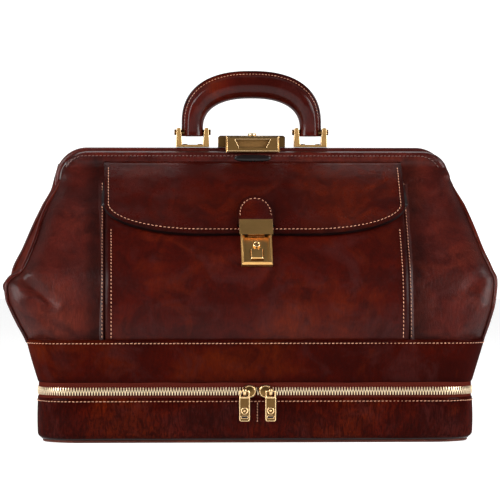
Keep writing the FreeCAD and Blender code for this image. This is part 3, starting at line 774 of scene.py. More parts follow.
def build_panels():
    foot = np.linspace(PANEL_LOW, 100, 8)[:-1]
    u = np.linspace(-1, 1, 181)
    z = np.concatenate([foot, np.linspace(100, 252, 86)[:-1], np.linspace(252, 266.7, 14)])
    zz, uu = np.meshgrid(z, u, indexing="ij")
    v = (zz - PANEL_LOW) / (PANEL_TOP - PANEL_LOW) * 2 - 1
    v = np.where(v > 0, 0.3 * v, v)
    points = front_point(uu, zz)
    # Painted shade on the front panel beside the pocket's sides, kept in the edge share with the rim's
    # burnish.
    shade_by_pocket = swell(np.abs(points[..., 0]), 0, 147, 0, 9, 1, 0.7)
    obj = grid("front_panel_skin", points, edge=np.maximum(0.75 * rim_fade(uu, v, 0.12, 0.14), shade_by_pocket))
    orient(obj, (0, -1, 0.3))
    thicken(obj, 2.4, 1)
    dress(obj, hide_side, edge_paint_and_shade)
    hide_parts("front_panel")
    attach(obj, "main_body")
    z = np.concatenate([foot, np.linspace(100, PANEL_TOP, 88)])
    zz, uu = np.meshgrid(z, u, indexing="ij")
    v = (zz - PANEL_LOW) / (PANEL_TOP - PANEL_LOW) * 2 - 1
    obj = grid("back_panel_skin", back_point(uu, zz), edge=0.8 * rim_fade(uu, v, 0.16, 0.16))
    orient(obj, (0, 1, 0.3))
    thicken(obj, 2.4, 1)
    dress(obj, hide_back, edge_paint_and_shade)
    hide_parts("back_panel", "back_panel_upper")
    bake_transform(obj)
    zz, uu = np.meshgrid(np.linspace(PANEL_LOW, 240.5, 90), np.linspace(0, 1, 84), indexing="ij")
    for side, word in SIDES:
        edge = 0.7 * rim_fade(2 * uu - 1, 0 * uu, 0.2, 1)
        obj = grid("gusset_" + word + "_skin", side_point(side, uu, zz), edge=edge)
        orient(obj, (side, 0, 0.2))
        thicken(obj, 2.4, 1)
        dress(obj, hide_gusset, edge_paint_and_shade)
        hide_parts("gusset_" + word, "gusset_fold_" + word)
        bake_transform(obj)


def piping(name, points, z, side, face, inset):
    """Cord along a seam; it gets thinner and sinks in towards the top."""
    thin = np.clip((246 - z) / 30, 0.25, 1)
    points[:, 0] -= side * inset * (1 - thin)
    ring = superellipse(1.7, 1.7, 2.0, 12)
    return sweep(name, points, [(side, face, 0)] * len(points), ring * thin[:, None, None])


def build_piping():
    z = np.linspace(91, 244, 90)
    for side, word in SIDES:
        at_seam = np.full_like(z, side * 1.0)
        obj = piping("piping_front_" + word + "_cord", front_point(at_seam, z, 0.5), z, side, -1, 2.2)
        dress(obj, hide_handle)
        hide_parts("piping_front_" + word)
        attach(obj, "main_body")
        obj = piping("piping_back_" + word + "_cord", back_point(-at_seam, z, 0.5), z, side, 1, 3.0)
        dress(obj, hide_roll)
        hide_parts("piping_back_" + word)
        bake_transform(obj)


def build_lining():
    """Cloth inside the upper bag, open at the top, and the covered boards."""
    zz, tt = np.meshgrid(np.linspace(58, 252, 80), round_trip(240), indexing="ij")
    hx, yf, yb, r = np.moveaxis(body_at(zz), -1, 0)
    inner = 3.6
    hx = np.minimum(hx - valley(zz), 168.5 + np.maximum(0, 240 - zz) * 0.45)
    x, y, nx, ny = rounded_plan(hx - inner, 1.0, np.maximum(r - inner, 3.0), tt, yf + inner, yb - inner)
    obj = grid("lining_cloth", np.stack([x, y, zz], -1), wrap_cols=True)
    edit_mesh(obj)
    thicken(obj, 0.5)
    dress(obj, lining_cloth)
    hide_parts("lining")
    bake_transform(obj)
    for name in ("floor_board", "tray_board"):
        dress(NODES[name], board_cover)


# ------------------------------------------------------------------ band, tray and zip
def level_line(plan, z, out, count=None, t=None):
    """Points and normals round the bag at a height; plan is (half width, half depth, corner radius)."""
    t = round_trip(count) if t is None else t
    x, y, nx, ny = rounded_plan(*plan, t)
    return np.stack([x + nx * out, y + ny * out, np.full_like(x, z)], -1), np.stack([nx, ny, 0 * nx], -1)


def ring_sweep(name, plan_at, profile, seed, rough):
    """Wall round the bag from the (height, outset) points of its section; rough is its unevenness."""
    rows = []
    for z, out in profile:
        base, n = level_line(plan_at(z), z, 0.0, 420)
        d = out + rough * ripple(*base.T, seed, 40.0, 1.0)
        rows.append(base + n * d[:, None])
    obj = grid(name, np.array(rows), wrap_rows=True, wrap_cols=True)
    edit_mesh(obj)
    return obj


def paint_ends(obj, low, high, wide, amount):
    """Burnishes the lower and upper edge of a wall."""
    heights = np.array([v.co.z for v in obj.data.vertices]) / MM
    paint(obj, np.clip(1 - np.minimum(heights - low, high - heights) / wide, 0, 1) ** 1.5 * amount)


def band_plan(z):
    share = (z - BAND_LOW) / (BAND_TOP - BAND_LOW)
    return [foot + flare * share for foot, flare in zip(BAND_FOOT, BAND_FLARE)]


def build_band():
    profile = [(BAND_LOW, -2.6), (BAND_LOW, -0.8), (BAND_LOW + 0.8, -0.1)]
    profile += [(z, 0.25 * math.sin(math.pi * (z - BAND_LOW) / 39)) for z in np.linspace(56, 92, 16)]
    profile += [(BAND_TOP - 0.7, -0.1), (BAND_TOP, -0.7), (BAND_TOP, -1.7), (BAND_TOP - 0.7, -2.5)]
    profile += [(z, -2.9) for z in (88, 76, 64)]
    obj = ring_sweep("base_band_skin", band_plan, profile, 8, 0.3)
    paint_ends(obj, BAND_LOW, BAND_TOP, 7.0, 0.6)
    dress(obj, hide_band)
    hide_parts("base_band")
    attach(obj, "main_body")


def scaled_rings(plan, rings, count):
    """Rings of a level plate: each is the plan's outline times a share, at a height."""
    outline = level_line(plan, 0.0, 0.0, count)[0]
    return np.array([outline * (share, share, 1) + (0, 0, z) for share, z in rings])


def tray_inside(inset):
    return [size - inset for size in TRAY]


def build_tray():
    foot_round = 5.2
    profile = [(SHEET_TOP + 0.2, -7.0)]
    for a in np.linspace(0, math.pi / 2, 9):
        profile.append((SHEET_TOP + 0.2 + foot_round * (1 - math.cos(a)), -foot_round * (1 - math.sin(a))))
    profile += [(z, 0.35 * math.sin(math.pi * (z - 8) / 32)) for z in np.linspace(10, 39, 14)]
    profile += [(TRAY_TOP - 0.5, 0.0), (TRAY_TOP, -0.6), (TRAY_TOP, -2.2), (TRAY_TOP - 0.6, -2.9)]
    profile += [(z, -3.0) for z in (34, 22, 12, 7)]
    obj = ring_sweep("tray_skin", lambda z: TRAY, profile, 4, 0.35)
    paint_ends(obj, SHEET_TOP, TRAY_TOP, 5.0, 0.3)
    dress(obj, hide_base)
    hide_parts("tray_shell")
    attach(obj, "base_tray")
    # floor of the tray, seen when it is open, and the pressed sheet under it
    rings = [(share, SHEET_TOP + 3.0) for share in (0.02, 0.35, 0.7, 1.0)]
    obj = grid("tray_floor", scaled_rings(tray_inside(3.2), rings, 160), wrap_cols=True, flip=True)
    thicken(obj, 1.5)
    dress(obj, lining_cloth)
    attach(obj, "base_tray")
    rings = [(0.02, 0.0), (0.5, 0.0), (0.97, 0.0), (1.0, 0.5), (1.004, 1.6), (1.0, 3.0)]
    rings += [(0.97, SHEET_TOP + 0.1), (0.3, SHEET_TOP + 0.1)]
    obj = grid("bottom_sheet_skin", scaled_rings(tray_inside(5.2), rings, 240), wrap_cols=True)
    edit_mesh(obj)
    dress(obj, hide_under)
    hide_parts("bottom_sheet")
    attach(obj, "base_tray")
    # dark welt between the wall and the sheet
    path, n = level_line(tray_inside(4.2), SHEET_TOP + 0.7, 0.0, 300)
    obj = sweep("base_welt", path, n, superellipse(1.3, 1.1, 2, 8), closed=True)
    dress(obj, edge_paint_and_shade)
    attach(obj, "base_tray")


def zip_span():
    """Half the length of the zip, and the whole way round the bag."""
    hx, hy, r = TRAY
    corner = math.asin((ZIP_REAR_END - (hy - r)) / r)
    return (hx - r) + math.pi / 2 * r + 2 * (hy - r) + corner * r, plan_length(hx, hy, r)


def zip_points(inset, z, s):
    """Points and normals on the zip's path; s in millimetres from the middle of the front."""
    return level_line(TRAY, z, -inset, t=np.mod(s / plan_length(*TRAY), 1.0))


def ribbon(name, section, s):
    """Closed strip along the zip's path from the (inset, height) corners of its section."""
    obj = grid(name, np.array([zip_points(inset, z, s)[0] for inset, z in section]), wrap_rows=True)
    edit_mesh(obj)
    return obj


# A zip tooth's sections from its root in the tape to its head: half width, low edge, high edge, depth
TOOTH = ((0.40, 0.6, 2.75, 0.0), (0.45, 0.3, 3.0, 0.4), (0.60, -0.1, 3.0, 2.3), (1.16, -0.1, 2.8, 3.58))
TOOTH_PITCH = 2.5


def build_zip():
    reach, total = zip_span()
    s = np.linspace(-reach, reach, 380)
    for name, low, high, body, node in (
        ("zip_tape_low", TRAY_TOP - 1.5, 46.3, "base_tray", "zip_tape_lower"),
        ("zip_tape_high", 47.5, BAND_LOW + 0.6, "main_body", "zip_tape_upper"),
    ):
        section = [(1.3, low), (1.0, low + 0.3), (1.0, high - 0.3), (1.3, high)]
        section += [(2.0, high), (2.3, high - 0.3), (2.3, low + 0.3), (2.0, low)]
        obj = ribbon(name, section, s)
        dress(obj, tape_cloth)
        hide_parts(node)
        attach(obj, body)
    # Metal teeth, one row on each tape, half a pitch apart
    shape = []
    for half, near, far, up in TOOTH:
        shape += [(-half, near, up), (half, near, up), (half, far, up), (-half, far, up)]
    rings = [(0, 3, 2, 1)]
    for k in (0, 4, 8):
        rings += [(a + k, b + k, b + k + 4, a + k + 4) for a, b in ((0, 1), (1, 2), (2, 3), (3, 0))]
    rings += [(12, 13, 14, 15)]
    for name, row, body, node in (
        ("zip_teeth_low", -1, "base_tray", "zip_teeth_lower"),
        ("zip_teeth_high", 1, "main_body", "zip_teeth_upper"),
    ):
        count = int(2 * (reach - 3) / TOOTH_PITCH)
        p, n = zip_points(0.0, ZIP_LINE, (np.arange(count) - count / 2 + 0.25 * row) * TOOTH_PITCH)
        t = np.cross(Z_AXIS, n)
        verts = []
        faces = []
        for i in range(count):
            faces += [tuple(len(verts) + k for k in (f if row < 0 else f[::-1])) for f in rings]
            for a, depth, up in shape:
                verts.append(p[i] + t[i] * a + n[i] * (0.1 - depth) + Z_AXIS * row * (3.65 - up))
        obj = new_object(name, np.array(verts) * MM, faces)
        edit_mesh(obj)
        round_edges(obj, 0.16, 30, 1)
        dress(obj, zip_metal)
        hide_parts(node)
        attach(obj, body)
    # Leather strip behind, with the ends of the zip tucked under it
    section = [(0.7, TRAY_TOP - 1.0), (0.5, 42.5), (0.5, 53.0), (0.7, BAND_LOW + 0.4)]
    section += [(2.0, BAND_LOW + 0.4), (2.2, 53.0), (2.2, 42.5), (2.0, TRAY_TOP - 1.0)]
    obj = ribbon("hinge_strip_skin", section, np.linspace(reach + 0.6, total - reach - 0.6, 220))
    dress(obj, hide_roll)
    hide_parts("hinge_strip")
    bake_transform(obj)


# ------------------------------------------------------------------ pocket and flap
def build_pocket():
    z = np.concatenate([np.linspace(88, 94, 4)[:-1], np.linspace(94, 228, 70)])
    zz, uu = np.meshgrid(z, np.linspace(-1, 1, 141), indexing="ij")
    x = uu * POCKET_HALF
    puff = 0.9 * (1 - uu**4) * np.clip((zz - 94) / 20, 0, 1) * np.clip((215 - zz) / 40, 0, 1)
    roll_in = 1.6 * np.clip((np.abs(uu) - 0.988) / 0.012, 0, 1) ** 2
    y = pocket_y(zz) - puff + roll_in + ripple(x, 0 * x, zz, 41, 70.0, 0.25)
    edge = 0.85 * rim_fade(uu, (zz - 88) / 140 * 2 - 1, 0.10, 0.10)
    obj = grid("pocket_front_skin", np.stack([x, y, zz], -1), edge=edge)
    orient(obj, (0, -1, 0.3))
    thicken(obj, 2.2, 1, 0.6)
    dress(obj, hide_front, edge_paint_and_shade)
    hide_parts("pocket_front")
    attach(obj, "main_body")
    # Bellows sides: folds from the pocket's rim back to the panel, in the near-black edge material as painted
    # shade for the groove, and a stitched flange on the panel
    z = np.linspace(90, 240, 76)
    panel = body_at(z)[:, 1]
    depth = np.maximum(panel - pocket_y(z) - 1.6, 0.8)
    taper = np.clip((240 - z) / 6, 0.15, 1)
    folds = ((-3.0, 0.0), (-1.0, 0.15), (-4.5, 0.5), (-0.8, 0.85), (-0.3, 0.97), (0.1, 1.0))
    flange = ((0.2, 0.2), (0.3, 1.2), (0.9, 1.7), (2.0, 1.8), (3.0, 1.4), (4.0, 0.7), (5.2, 0.1), (6.2, -0.6))
    for side, word in SIDES:
        rows = [upright(side * (POCKET_HALF + out), panel - depth * (1 - back), z) for out, back in folds]
        obj = grid("pocket_bellows_" + word, np.array(rows))
        orient(obj, (side * 0.2, -1, 0.3))
        thicken(obj, 0.8)
        dress(obj, edge_paint_and_shade)
        if side < 0:
            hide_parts("pocket_gusset")
        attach(obj, "main_body")
        rows = [upright(side * (POCKET_HALF + out), panel - rise * taper, z) for out, rise in flange]
        obj = grid("pocket_flange_" + word, np.array(rows), edge=np.full((len(flange), len(z)), 0.66))
        orient(obj, (0, -1, 0.3))
        dress(obj, hide_side)
        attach(obj, "main_body")


def upright(x, y, z):
    """Line at one x, from its depths and heights."""
    return np.stack([np.full_like(z, x), y, z], -1)


def flap_low(x):
    """Height of the flap's lower rim at x."""
    t = np.clip((np.abs(x) - (FLAP_HALF - FLAP_ROUND)) / FLAP_ROUND, 0, 1)
    return FLAP_CURVE - (FLAP_CURVE - FLAP_BOTTOM) * np.sqrt(np.maximum(0, 1 - t * t))


def flap_face(x, z, lift=0.0):
    """Outer face of the flap."""
    y = pocket_y(z) - 5.0
    y = y + 3.4 * np.clip((z - 240) / 16, 0, 1) ** 1.5
    y = y - 1.5 * np.clip(1 - (z - flap_low(x)) / 26.0, 0, 1) ** 2 * np.clip((np.abs(x) - 20) / 25, 0, 1)
    return np.stack([x, y - lift * 0.8, z + lift * 0.6], -1)


def tab_outline(half, foot, legs, arc):
    """Arch of the lock's tab, from its left foot over the round top to its right foot."""
    heights = np.linspace(foot, TAB_ROUND, legs)
    points = [(-half, z) for z in heights]
    points += [(-half * math.cos(b), TAB_ROUND + half * math.sin(b)) for b in arc]
    return np.array(points + [(half, z) for z in heights[::-1]])


def build_flap():
    x = np.sin(np.linspace(-math.pi / 2, math.pi / 2, 161)) * (FLAP_HALF - 1e-3)
    vv, xx = np.meshgrid(np.linspace(0, 1, 60), x, indexing="ij")
    low = flap_low(xx)
    zz = FLAP_TOP - (FLAP_TOP - low) * vv
    p = flap_face(xx, zz)
    turned = np.clip(1 - vv / 0.05, 0, 1)
    p[..., 1] += ripple(xx, 0 * xx, zz, 52, 60.0, 0.2) + 3.2 * turned**2
    p[..., 2] += 0.6 * np.sin(turned * math.pi * 0.5)
    rim = np.minimum(zz - low, FLAP_HALF - np.abs(xx))
    obj = grid("flap_skin", p, edge=np.clip(1 - rim / 9.0, 0, 1) ** 1.5 * 0.85)
    orient(obj, (0, -1, 0.6))
    thicken(obj, 3.0, 1, 0.7)
    dress(obj, hide_flap, edge_paint_and_shade)
    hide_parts("flap")
    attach(obj, "pocket_flap")
    # Leather tab of the lock, in rings that grow from its middle line to its outline
    outline = tab_outline(TAB_HALF, 195.6, 12, np.linspace(0, math.pi, 33)[1:-1])
    core = np.column_stack([0 * outline[:, 0], np.clip(outline[:, 1], 196.5, TAB_ROUND)])
    share = np.linspace(0, 1, 14)[:, None, None]
    rings = core + (outline - core) * share
    edge = np.clip((share[..., 0] - 0.7) / 0.3, 0, 1) ** 1.5 * 0.9 + 0 * rings[..., 0]
    obj = grid("flap_tab_skin", flap_face(rings[..., 0], rings[..., 1], 3.0), edge=edge)
    weld(obj)
    orient(obj, (0, -1, 0.6))
    thicken(obj, 2.4, 1, 0.5)
    dress(obj, hide_flap, edge_paint_and_shade)
    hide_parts("flap_tab")
    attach(obj, "pocket_flap")


# ------------------------------------------------------------------ frame rolls
def arch_path(half, top, radius, low, y, count=220):
    """Centre line of an arch and its outward direction, from the left foot to the right foot."""
    leg = top - radius - low
    arc = radius * math.pi / 2
    flat = 2 * (half - radius)
    s = np.linspace(0, 2 * leg + 2 * arc + flat, count)
    first = np.clip((s - leg) / radius, 0, math.pi / 2)
    second = np.clip((s - leg - arc - flat) / radius, 0, math.pi / 2)
    x = radius * (1 - np.cos(first)) + np.clip(s - leg - arc, 0, flat) + radius * np.sin(second) - half
    z = low + np.minimum(s, leg) + radius * np.sin(first)
    z = z - radius * (1 - np.cos(second)) - np.maximum(s - leg - 2 * arc - flat, 0)
    turned = first + second
    return np.stack([x, 0 * s + y, z], -1), np.stack([-np.cos(turned), 0 * s, np.sin(turned)], -1)


def rear_arch(low):
    return arch_path(178.2, REAR_TOP - 6.4, 23.6, low, 8.5)


def build_rolls():
    path, out = arch_path(176.0, FRONT_TOP - 6.0, 20.0, ROLL_LOW - 5, -8.5)
    path[:, 0] += 3.0
    obj = sweep("front_roll_skin", path, out, superellipse(6.4, 5.9, 3.2, 28))
    dress(obj, hide_roll)
    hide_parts("front_roll")
    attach(obj, "main_body")
    path, out = rear_arch(ROLL_LOW - 5)
    obj = sweep("rear_roll_skin", path, out, superellipse(6.4, 6.3, 3.6, 28))
    dress(obj, hide_roll)
    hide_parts("rear_roll")
    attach(obj, "rear_half")


# ------------------------------------------------------------------ handle
def handle_curve(half, base, top, t):
    a = np.pi * t
    c, s = np.cos(a), np.sin(a)
    k = 2.0 / 2.4
    return np.stack([-np.sign(c) * np.abs(c) ** k * half, base + (top - base) * np.abs(s) ** k], -1)


def handle_lines():
    """Outer and inner line of the grip, foot to foot, as (x, z)."""
    t = 0.5 - 0.5 * np.cos(np.pi * np.linspace(0, 1, 150))
    up = np.linspace(0, 1, 10)[:-1]
    low = HANDLE_PIN_Z - 3.8
    lines = []
    for half, rise, top, foot, slope in (
        (65.8, 8, HANDLE_TOP, 66.0, 0.2),
        (45.6, 3, HANDLE_TOP - 26.2, 45.0, -0.6),
    ):
        start = HANDLE_PIN_Z + rise
        leg = np.stack([slope * up - foot, low + (start - low) * up], -1)
        lines.append(np.concatenate([leg, handle_curve(half, start, top, t), leg[::-1] * [-1, 1]]))
    return lines


def build_handle():
    outer, inner = handle_lines()
    centre = (outer + inner) / 2
    half = np.linalg.norm(outer - inner, axis=1)[:, None] / 2
    out = (outer - inner) / (2 * half)
    depth = 9.2 + 2.2 * np.clip((centre[:, 1:] - HANDLE_PIN_Z) / 25, 0, 1)
    a = round_trip(36) * 2 * math.pi
    c, s = np.cos(a), np.sin(a)
    # Towards the outside the padded tube narrows to a flat stitched rim
    near = np.clip((c - 0.50) / 0.20, 0, 1)
    pinch = 1 - near * near * (3 - 2 * near)
    across = depth * s * pinch + 2.1 * np.clip(4 * s, -1, 1) * (1 - pinch)
    plan = centre[:, None] + out[:, None] * (half * c)[..., None]
    rows = np.stack([plan[..., 0], HANDLE_Y + across, plan[..., 1]], -1)
    edge = np.clip((c - 0.84) / 0.12, 0, 1) + 0 * across
    obj = grid("handle_skin", rows, wrap_cols=True, edge=edge)
    cap(obj, *rows.shape[:2])
    dress(obj, hide_handle, edge_paint_and_shade)
    edge = edge.ravel()
    for f in obj.data.polygons:
        if edge[list(f.vertices)].mean() > 0.98:
            f.material_index = 1
    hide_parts("handle_leather", "handle_core")
    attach(obj, "handle")
    x, z = (outer - out * 3.3)[4:-4].T
    lines = []
    for side, word in SIDES:
        lines.append((np.stack([x, 0 * x + HANDLE_Y + side * 2.3, z], -1), [(0, side, 0)] * len(x)))
    stitches("handle_stitches", lines, tan_thread, "handle", pitch=3.0, length=1.8, radius=0.36)


# ------------------------------------------------------------------ stitching
def build_stitches():
    lines = [level_line(band_plan(90.4), 90.4, 0.25, t=np.linspace(0, 1, 700))]
    z = np.linspace(94.5, 194, 60)
    for side, word in SIDES:
        lines.append((upright(side * (POCKET_HALF - 5.4), pocket_y(z) - 0.15, z), [(0, -1, 0.3)] * len(z)))
    z = np.linspace(94.5, 237, 80)
    for side, word in SIDES:
        line = upright(side * (POCKET_HALF + 2.7), body_at(z)[:, 1] - 1.65, z)
        lines.append((line, [(0, -1, 0.5)] * len(z)))
    stitches("body_stitches", lines, tan_thread, "main_body")
    line = level_line(TRAY, 37.8, 0.2, t=np.linspace(0, 1, 700))
    stitches("tray_stitches", [line], tan_thread, "base_tray")
    z = np.linspace(19, 37, 5)
    line = (upright(0.0, 0 * z - TRAY[1] - 0.5, z), [(0, -1, 0)] * len(z))
    stitches("tray_seam_stitches", [line], tan_thread, "base_tray", pitch=2.6, length=1.9)
    # flap: along its sides and curved rim, and round the top of the tab
    inset = 3.9
    drop = FLAP_CURVE - FLAP_BOTTOM - inset
    left = [(inset - FLAP_HALF, z) for z in np.linspace(FLAP_TOP - 5, FLAP_CURVE, 16)]
    for b in np.linspace(0, math.pi / 2, 24):
        x = FLAP_ROUND - FLAP_HALF - (FLAP_ROUND - inset) * math.cos(b)
        left.append((x, FLAP_CURVE - drop * math.sin(b)))
    rim = np.array(left + [(-x, z) for x, z in reversed(left)])
    tab = tab_outline(TAB_HALF - 3.0, 204, 2, np.linspace(0, math.pi, 30))
    lines = []
    for line, lift in ((rim, 0.4), (tab, 3.3)):
        lines.append((flap_face(*line.T, lift), [(0, -0.8, 0.6)] * len(line)))
    stitches("flap_stitches", lines, tan_thread, "pocket_flap", pitch=3.8, length=2.2)
    path, out = arch_path(177.4, FRONT_TOP - 4.2, 21.5, 232, 0)
    path = path[path[:, 2] > 250]
    x, y, z = path.T
    n = np.stack([0 * x, 0 * x - 1, np.clip((z - 250) / 12, 0, 1)], -1)
    line = (np.stack([x, front_y(z) - 0.25, z], -1), n)
    stitches("roll_stitches", [line], dark_thread, "main_body", radius=0.4)
    path, out = rear_arch(ROLL_LOW + 4)
    path = path + out * 2.0 + (0, 6.45, 0)
    stitches("rear_roll_stitches", [(path, [(0, 1, 0)] * len(path))], dark_thread, "rear_half")


# ------------------------------------------------------------------ metal
def dress_metal():
    """Metals and small bevels for the CAD meshes that stay in sight."""
    plan = {
        "lock_plate": (brass, 0.3), "release_slider": (brass, 0.3), "key_cylinder": (brass_bright, 0.3),
        # lock_case takes the darker brass as painted shade on its front face.
        "flap_cap": (brass, 0.35), "strike_plate": (plate_brass, 0.35), "lock_case": (brass_dark, 0.3),
        "lock_slide": (brass_bright, 0.2), "handle_pins": (brass_dark, 0.3),
        "bracket_rivets": (brass_dark, 0.2), "frame_pins": (steel, 0.2),
        "front_frame": (steel, 0.0), "rear_frame": (steel, 0.0),
    }
    for name, (look, width) in plan.items():
        obj = NODES[name]
        dress(obj, look)
        if width:
            obj.modifiers.new("weld", "WELD").merge_threshold = 0.00001
            # Bevelled edges take the lighter brass: painted highlights along them.
            obj.data.materials.append(brass_bright)
            round_edges(obj, width, 35)
            obj.modifiers[-1].material = 1


def prism(name, outline, y0, y1, body, look, bevel=0.5):
    """Plate cut to an outline of (x, z) corners, between two depths."""
    count = len(outline)
    verts = [(x, y, z) for y in (y0, y1) for x, z in outline]
    faces = [tuple(range(count)), tuple(reversed(range(count, 2 * count)))]
    faces += [(i, i + count, (i + 1) % count + count, (i + 1) % count) for i in range(count)]
    obj = new_object(name, np.array(verts) * MM, faces)
    edit_mesh(obj)
    round_edges(obj, bevel, 30, 3)
    # Bevelled edges take the lighter brass: painted highlights along them.
    dress(obj, look, brass_bright)
    obj.modifiers[-1].material = 1
    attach(obj, body)
    return obj


def build_brackets():
    """Foot plates of the handle, with tapered posts on each side of the grip."""
    right = [(11.2, 17.6), (11.8, 18.2), (14.4, 18.2), (15.0, 17.6)]
    shape = [(-15.6, 0.2), (15.6, 0.2)] + right[::-1]
    shape += [(9.8, 2.4), (-9.8, 2.4)] + [(-x, z) for x, z in right]
    for side, word in SIDES:
        outline = [(side * 55.5 + x, REAR_TOP + z) for x, z in shape]
        obj = prism("bracket_" + word, outline, 2.4, 14.6, "rear_half", brass, 0.5)
        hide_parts("handle_bracket_" + word)


def torus(name, centre, axis_u, axis_v, big, small, body, look):
    """Plain ring lying in the plane of two unit vectors."""
    a = (round_trip(28) * 2 * math.pi)[:, None, None]
    b = (round_trip(10) * 2 * math.pi)[None, :, None]
    out = axis_u * np.cos(a) + axis_v * np.sin(a)
    points = centre + out * (big + small * np.cos(b)) + np.cross(axis_u, axis_v) * small * np.sin(b)
    obj = grid(name, points, wrap_rows=True, wrap_cols=True)
    edit_mesh(obj)
    dress(obj, look)
    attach(obj, body)


def dome(name, centre, radii, body, look):
    """Rounded cover, flattened like a pebble."""
    rise = np.linspace(-math.pi / 2, math.pi / 2, 17)
    aa, bb = np.meshgrid(rise, round_trip(32) * 2 * math.pi, indexing="ij")

    def power(v, k):
        return np.sign(v) * np.abs(v) ** k

    level = power(np.cos(aa), 0.8)
    parts = (level * power(np.cos(bb), 0.75), power(np.sin(aa), 0.8), level * power(np.sin(bb), 0.75))
    obj = grid(name, np.stack(parts, -1) * radii + centre, wrap_cols=True)
    weld(obj)
    dress(obj, look)
    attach(obj, body)
    return obj


def loop(name, centre, half_x, half_z, corner, section, body, look):
    """Closed bar bent to a rounded rectangle, seen from the front."""
    x, z, nx, nz = rounded_plan(half_x, half_z, corner, round_trip(64))
    path = np.stack([x, 0 * x, z], -1) + centre
    obj = sweep(name, path, np.stack([nx, 0 * nx, nz], -1), superellipse(*section, 2.6, 10), closed=True)
    dress(obj, look)
    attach(obj, body)


def build_zip_hardware():
    """Sliders with a round back and a loop, and pulls with a raised rim and a slot; their plain rings come
    from build_small_parts.
    """
    plate = [(-4.5, 21.0), (-3.9, 20.4), (3.9, 20.4), (4.5, 21.0)]
    plate += [(4.5, 41.2), (4.1, 42.0), (-4.1, 42.0), (-4.5, 41.2)]
    for side, word in SIDES:
        body = "slider_" + word
        x = side * SLIDER_X
        obj = dome("slider_front_" + word, (x, -107.4, ZIP_LINE), (6.3, 2.9, 5.7), body, brass_dark)
        middle = np.array([x, -109.2, ZIP_LINE])
        # Ring round the dome in the lighter brass: painted highlight on its rim.
        torus("slider_rim_" + word, middle, X_AXIS, Z_AXIS, 5.0, 0.55, body, brass_bright)
        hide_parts("zip_slider_" + word)
        corners = ((x - 3.0, -107.6, ZIP_LINE - 0.45), (x + 3.0, -102.6, ZIP_LINE + 0.45))
        block("slider_bridge_" + word, corners, 0.15, body, brass_dark)
        dome("slider_rear_" + word, (x, -103.0, ZIP_LINE), (6.0, 0.7, 5.4), body, brass_dark)
        # half ring that the pull hangs in, with both ends run back into the slider
        x = side * PULL_X
        a = np.linspace(math.pi / 2, 3 * math.pi / 2, 24)
        out = np.stack([0 * a, np.cos(a), np.sin(a)], -1)[[0, *range(24), 23]]
        path = out * (1, 3.9, 3.5) + (x, -110.1, ZIP_LINE)
        path[[0, -1], 1] += 2.6
        obj = sweep("slider_loop_" + word, path, out, superellipse(1.35, 0.55, 3.0, 12))
        dress(obj, brass_bright)
        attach(obj, body)
        body = "pull_" + word
        outline = [(x + dx, z) for dx, z in plate]
        obj = prism("pull_plate_" + word, outline, -111.9, -110.7, body, brass_dark, 0.2)
        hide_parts("zip_pull_" + word)
        # Raised rim of the pull in the lighter brass: painted highlight on it.
        loop("pull_rim_" + word, (x, -111.9, 31.2), 4.35, 10.7, 1.2, (0.45, 0.5), body, brass_bright)
        loop("pull_eye_" + word, (x, -111.4, 44.4), 4.1, 3.1, 1.6, (0.8, 0.75), body, brass_bright)
        loop("pull_slot_" + word, (x, -111.95, 23.8), 3.1, 1.1, 0.6, (0.25, 0.3), body, brass_bright)
        # Near-black floor in each pull's slot: painted shade inside the slot.
        corners = ((x - 2.8, -112.05, 22.9), (x + 2.8, -111.7, 24.7))
        block("pull_slot_shade_" + word, corners, 0.1, body, edge_paint_and_shade)


def build_small_parts():
    """Ring of the keyhole, plain rings on the pulls, and the dark pieces of the top lock."""
    centre = LOCK_MIDDLE + LOCK_UP * 3.5 + LOCK_OUT * 5.7
    torus("key_ring", centre, X_AXIS, LOCK_UP, 2.7, 0.55, "key_barrel", brass_bright)
    for side, word in SIDES:
        where = np.array([side * PULL_X, -112.0, 29.4])
        torus("pull_ring_" + word, where, X_AXIS, Z_AXIS, 2.8, 0.5, "pull_" + word, brass_bright)
        torus("pull_dot_" + word, where, X_AXIS, Z_AXIS, 0.55, 0.5, "pull_" + word, brass_bright)
    obj = dome("lock_guard_cap", (0.0, -15.6, FRONT_TOP - 6.4), (17.0, 1.7, 3.3), "main_body", hide_black)
    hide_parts("lock_guard")
    # dark plate seen through the window of the top lock
    block("lock_nose_face", ((-17.0, -13.7, 268.3), (17.0, -12.7, 278.4)), 0.3, "rear_half", bronze)


# ------------------------------------------------------------------ studio
def area_light(name, where, aim, size, power):
    data = bpy.data.lights.new(name, "AREA")
    data.shape = "RECTANGLE"
    data.size, data.size_y = size
    data.energy = power
    obj = bpy.data.objects.new(name, data)
    bpy.context.scene.collection.objects.link(obj)
    obj.location = where
    obj.rotation_euler = (Vector(aim) - Vector(where)).to_track_quat("-Z", "Y").to_euler()


WORLD = [(0.0, (0.07,) * 3), (0.5, (0.10,) * 3), (0.80, (0.40,) * 3), (0.95, WHITE)]
WALL_RADIUS = 5.9
CAMERA_AWAY = 2.8
CAMERA_TURN = math.radians(-2.7)


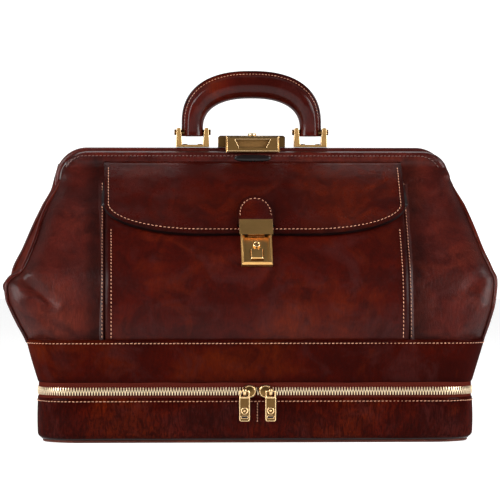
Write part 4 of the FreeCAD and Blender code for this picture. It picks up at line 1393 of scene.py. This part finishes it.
def build_sky():
    """Dark in front of the bag and light behind it."""
    world = bpy.data.worlds.new("studio")
    bpy.context.scene.world = world
    world.use_nodes = True
    t = world.node_tree
    t.nodes.clear()
    parts = new_node(t, "SeparateXYZ", Vector=new_node(t, "TexCoord").outputs["Generated"])
    share = arithmetic(t, "MULTIPLY", arithmetic(t, "ADD", parts.outputs["Y"], 1.0), 0.5)
    back = new_node(t, "Background", Color=ramp(t, share, WORLD))
    new_node(t, "OutputWorld", Surface=back.outputs[0])


def build_studio():
    floor = new_object("floor", [(-6, -6, 0), (6, -6, 0), (6, 6, 0), (-6, 6, 0)], [(0, 1, 2, 3)])
    dress(floor, pale_paper("floor_paper", 0.79))
    # Pale wall all round, seen by the camera only, so that it doesn't light the bag
    a = np.linspace(0, 2 * math.pi, 73)
    rows = [np.stack([WALL_RADIUS * np.cos(a), WALL_RADIUS * np.sin(a), 0 * a + h], -1) for h in (-0.1, 6.0)]
    wall = grid("backdrop", np.array(rows) / MM)
    dress(wall, pale_paper("backdrop_paper", 1.0))
    wall.visible_diffuse = wall.visible_glossy = wall.visible_transmission = wall.visible_shadow = False
    build_sky()
    area_light("key", (-1.5, -1.9, 1.7), (0, 0, 0.15), (0.7, 0.9), 25)
    area_light("fill", (1.7, -1.9, 1.0), (0, 0, 0.15), (0.7, 1.2), 12)
    for side, word in SIDES:
        area_light("strip_" + word, (side * 0.95, -0.5, 0.55), (0, 0, 0.22), (0.50, 0.8), 13)
    area_light("top", (0, 1.3, 2.2), (0, 0, 0.2), (1.6, 0.6), 14)
    lens = bpy.data.cameras.new("camera")
    camera = bpy.data.objects.new("camera", lens)
    bpy.context.scene.collection.objects.link(camera)
    lens.sensor_width = 36.0
    lens.lens = 18.0 / (0.235 / CAMERA_AWAY)
    lens.shift_x = -0.0036
    lens.shift_y = -0.034
    lens.clip_start = 0.05
    lens.clip_end = 30
    camera.location = (math.sin(CAMERA_TURN) * CAMERA_AWAY, -math.cos(CAMERA_TURN) * CAMERA_AWAY, 0.19)
    camera.rotation_euler = (math.radians(90), 0, CAMERA_TURN)
    bpy.context.scene.camera = camera


bpy.context.scene.view_settings.view_transform = "Standard"
build_panels()
build_piping()
build_lining()
build_band()
build_tray()
build_zip()
build_pocket()
build_flap()
build_rolls()
build_handle()
build_stitches()
dress_metal()
build_brackets()
build_zip_hardware()
build_small_parts()
build_studio()
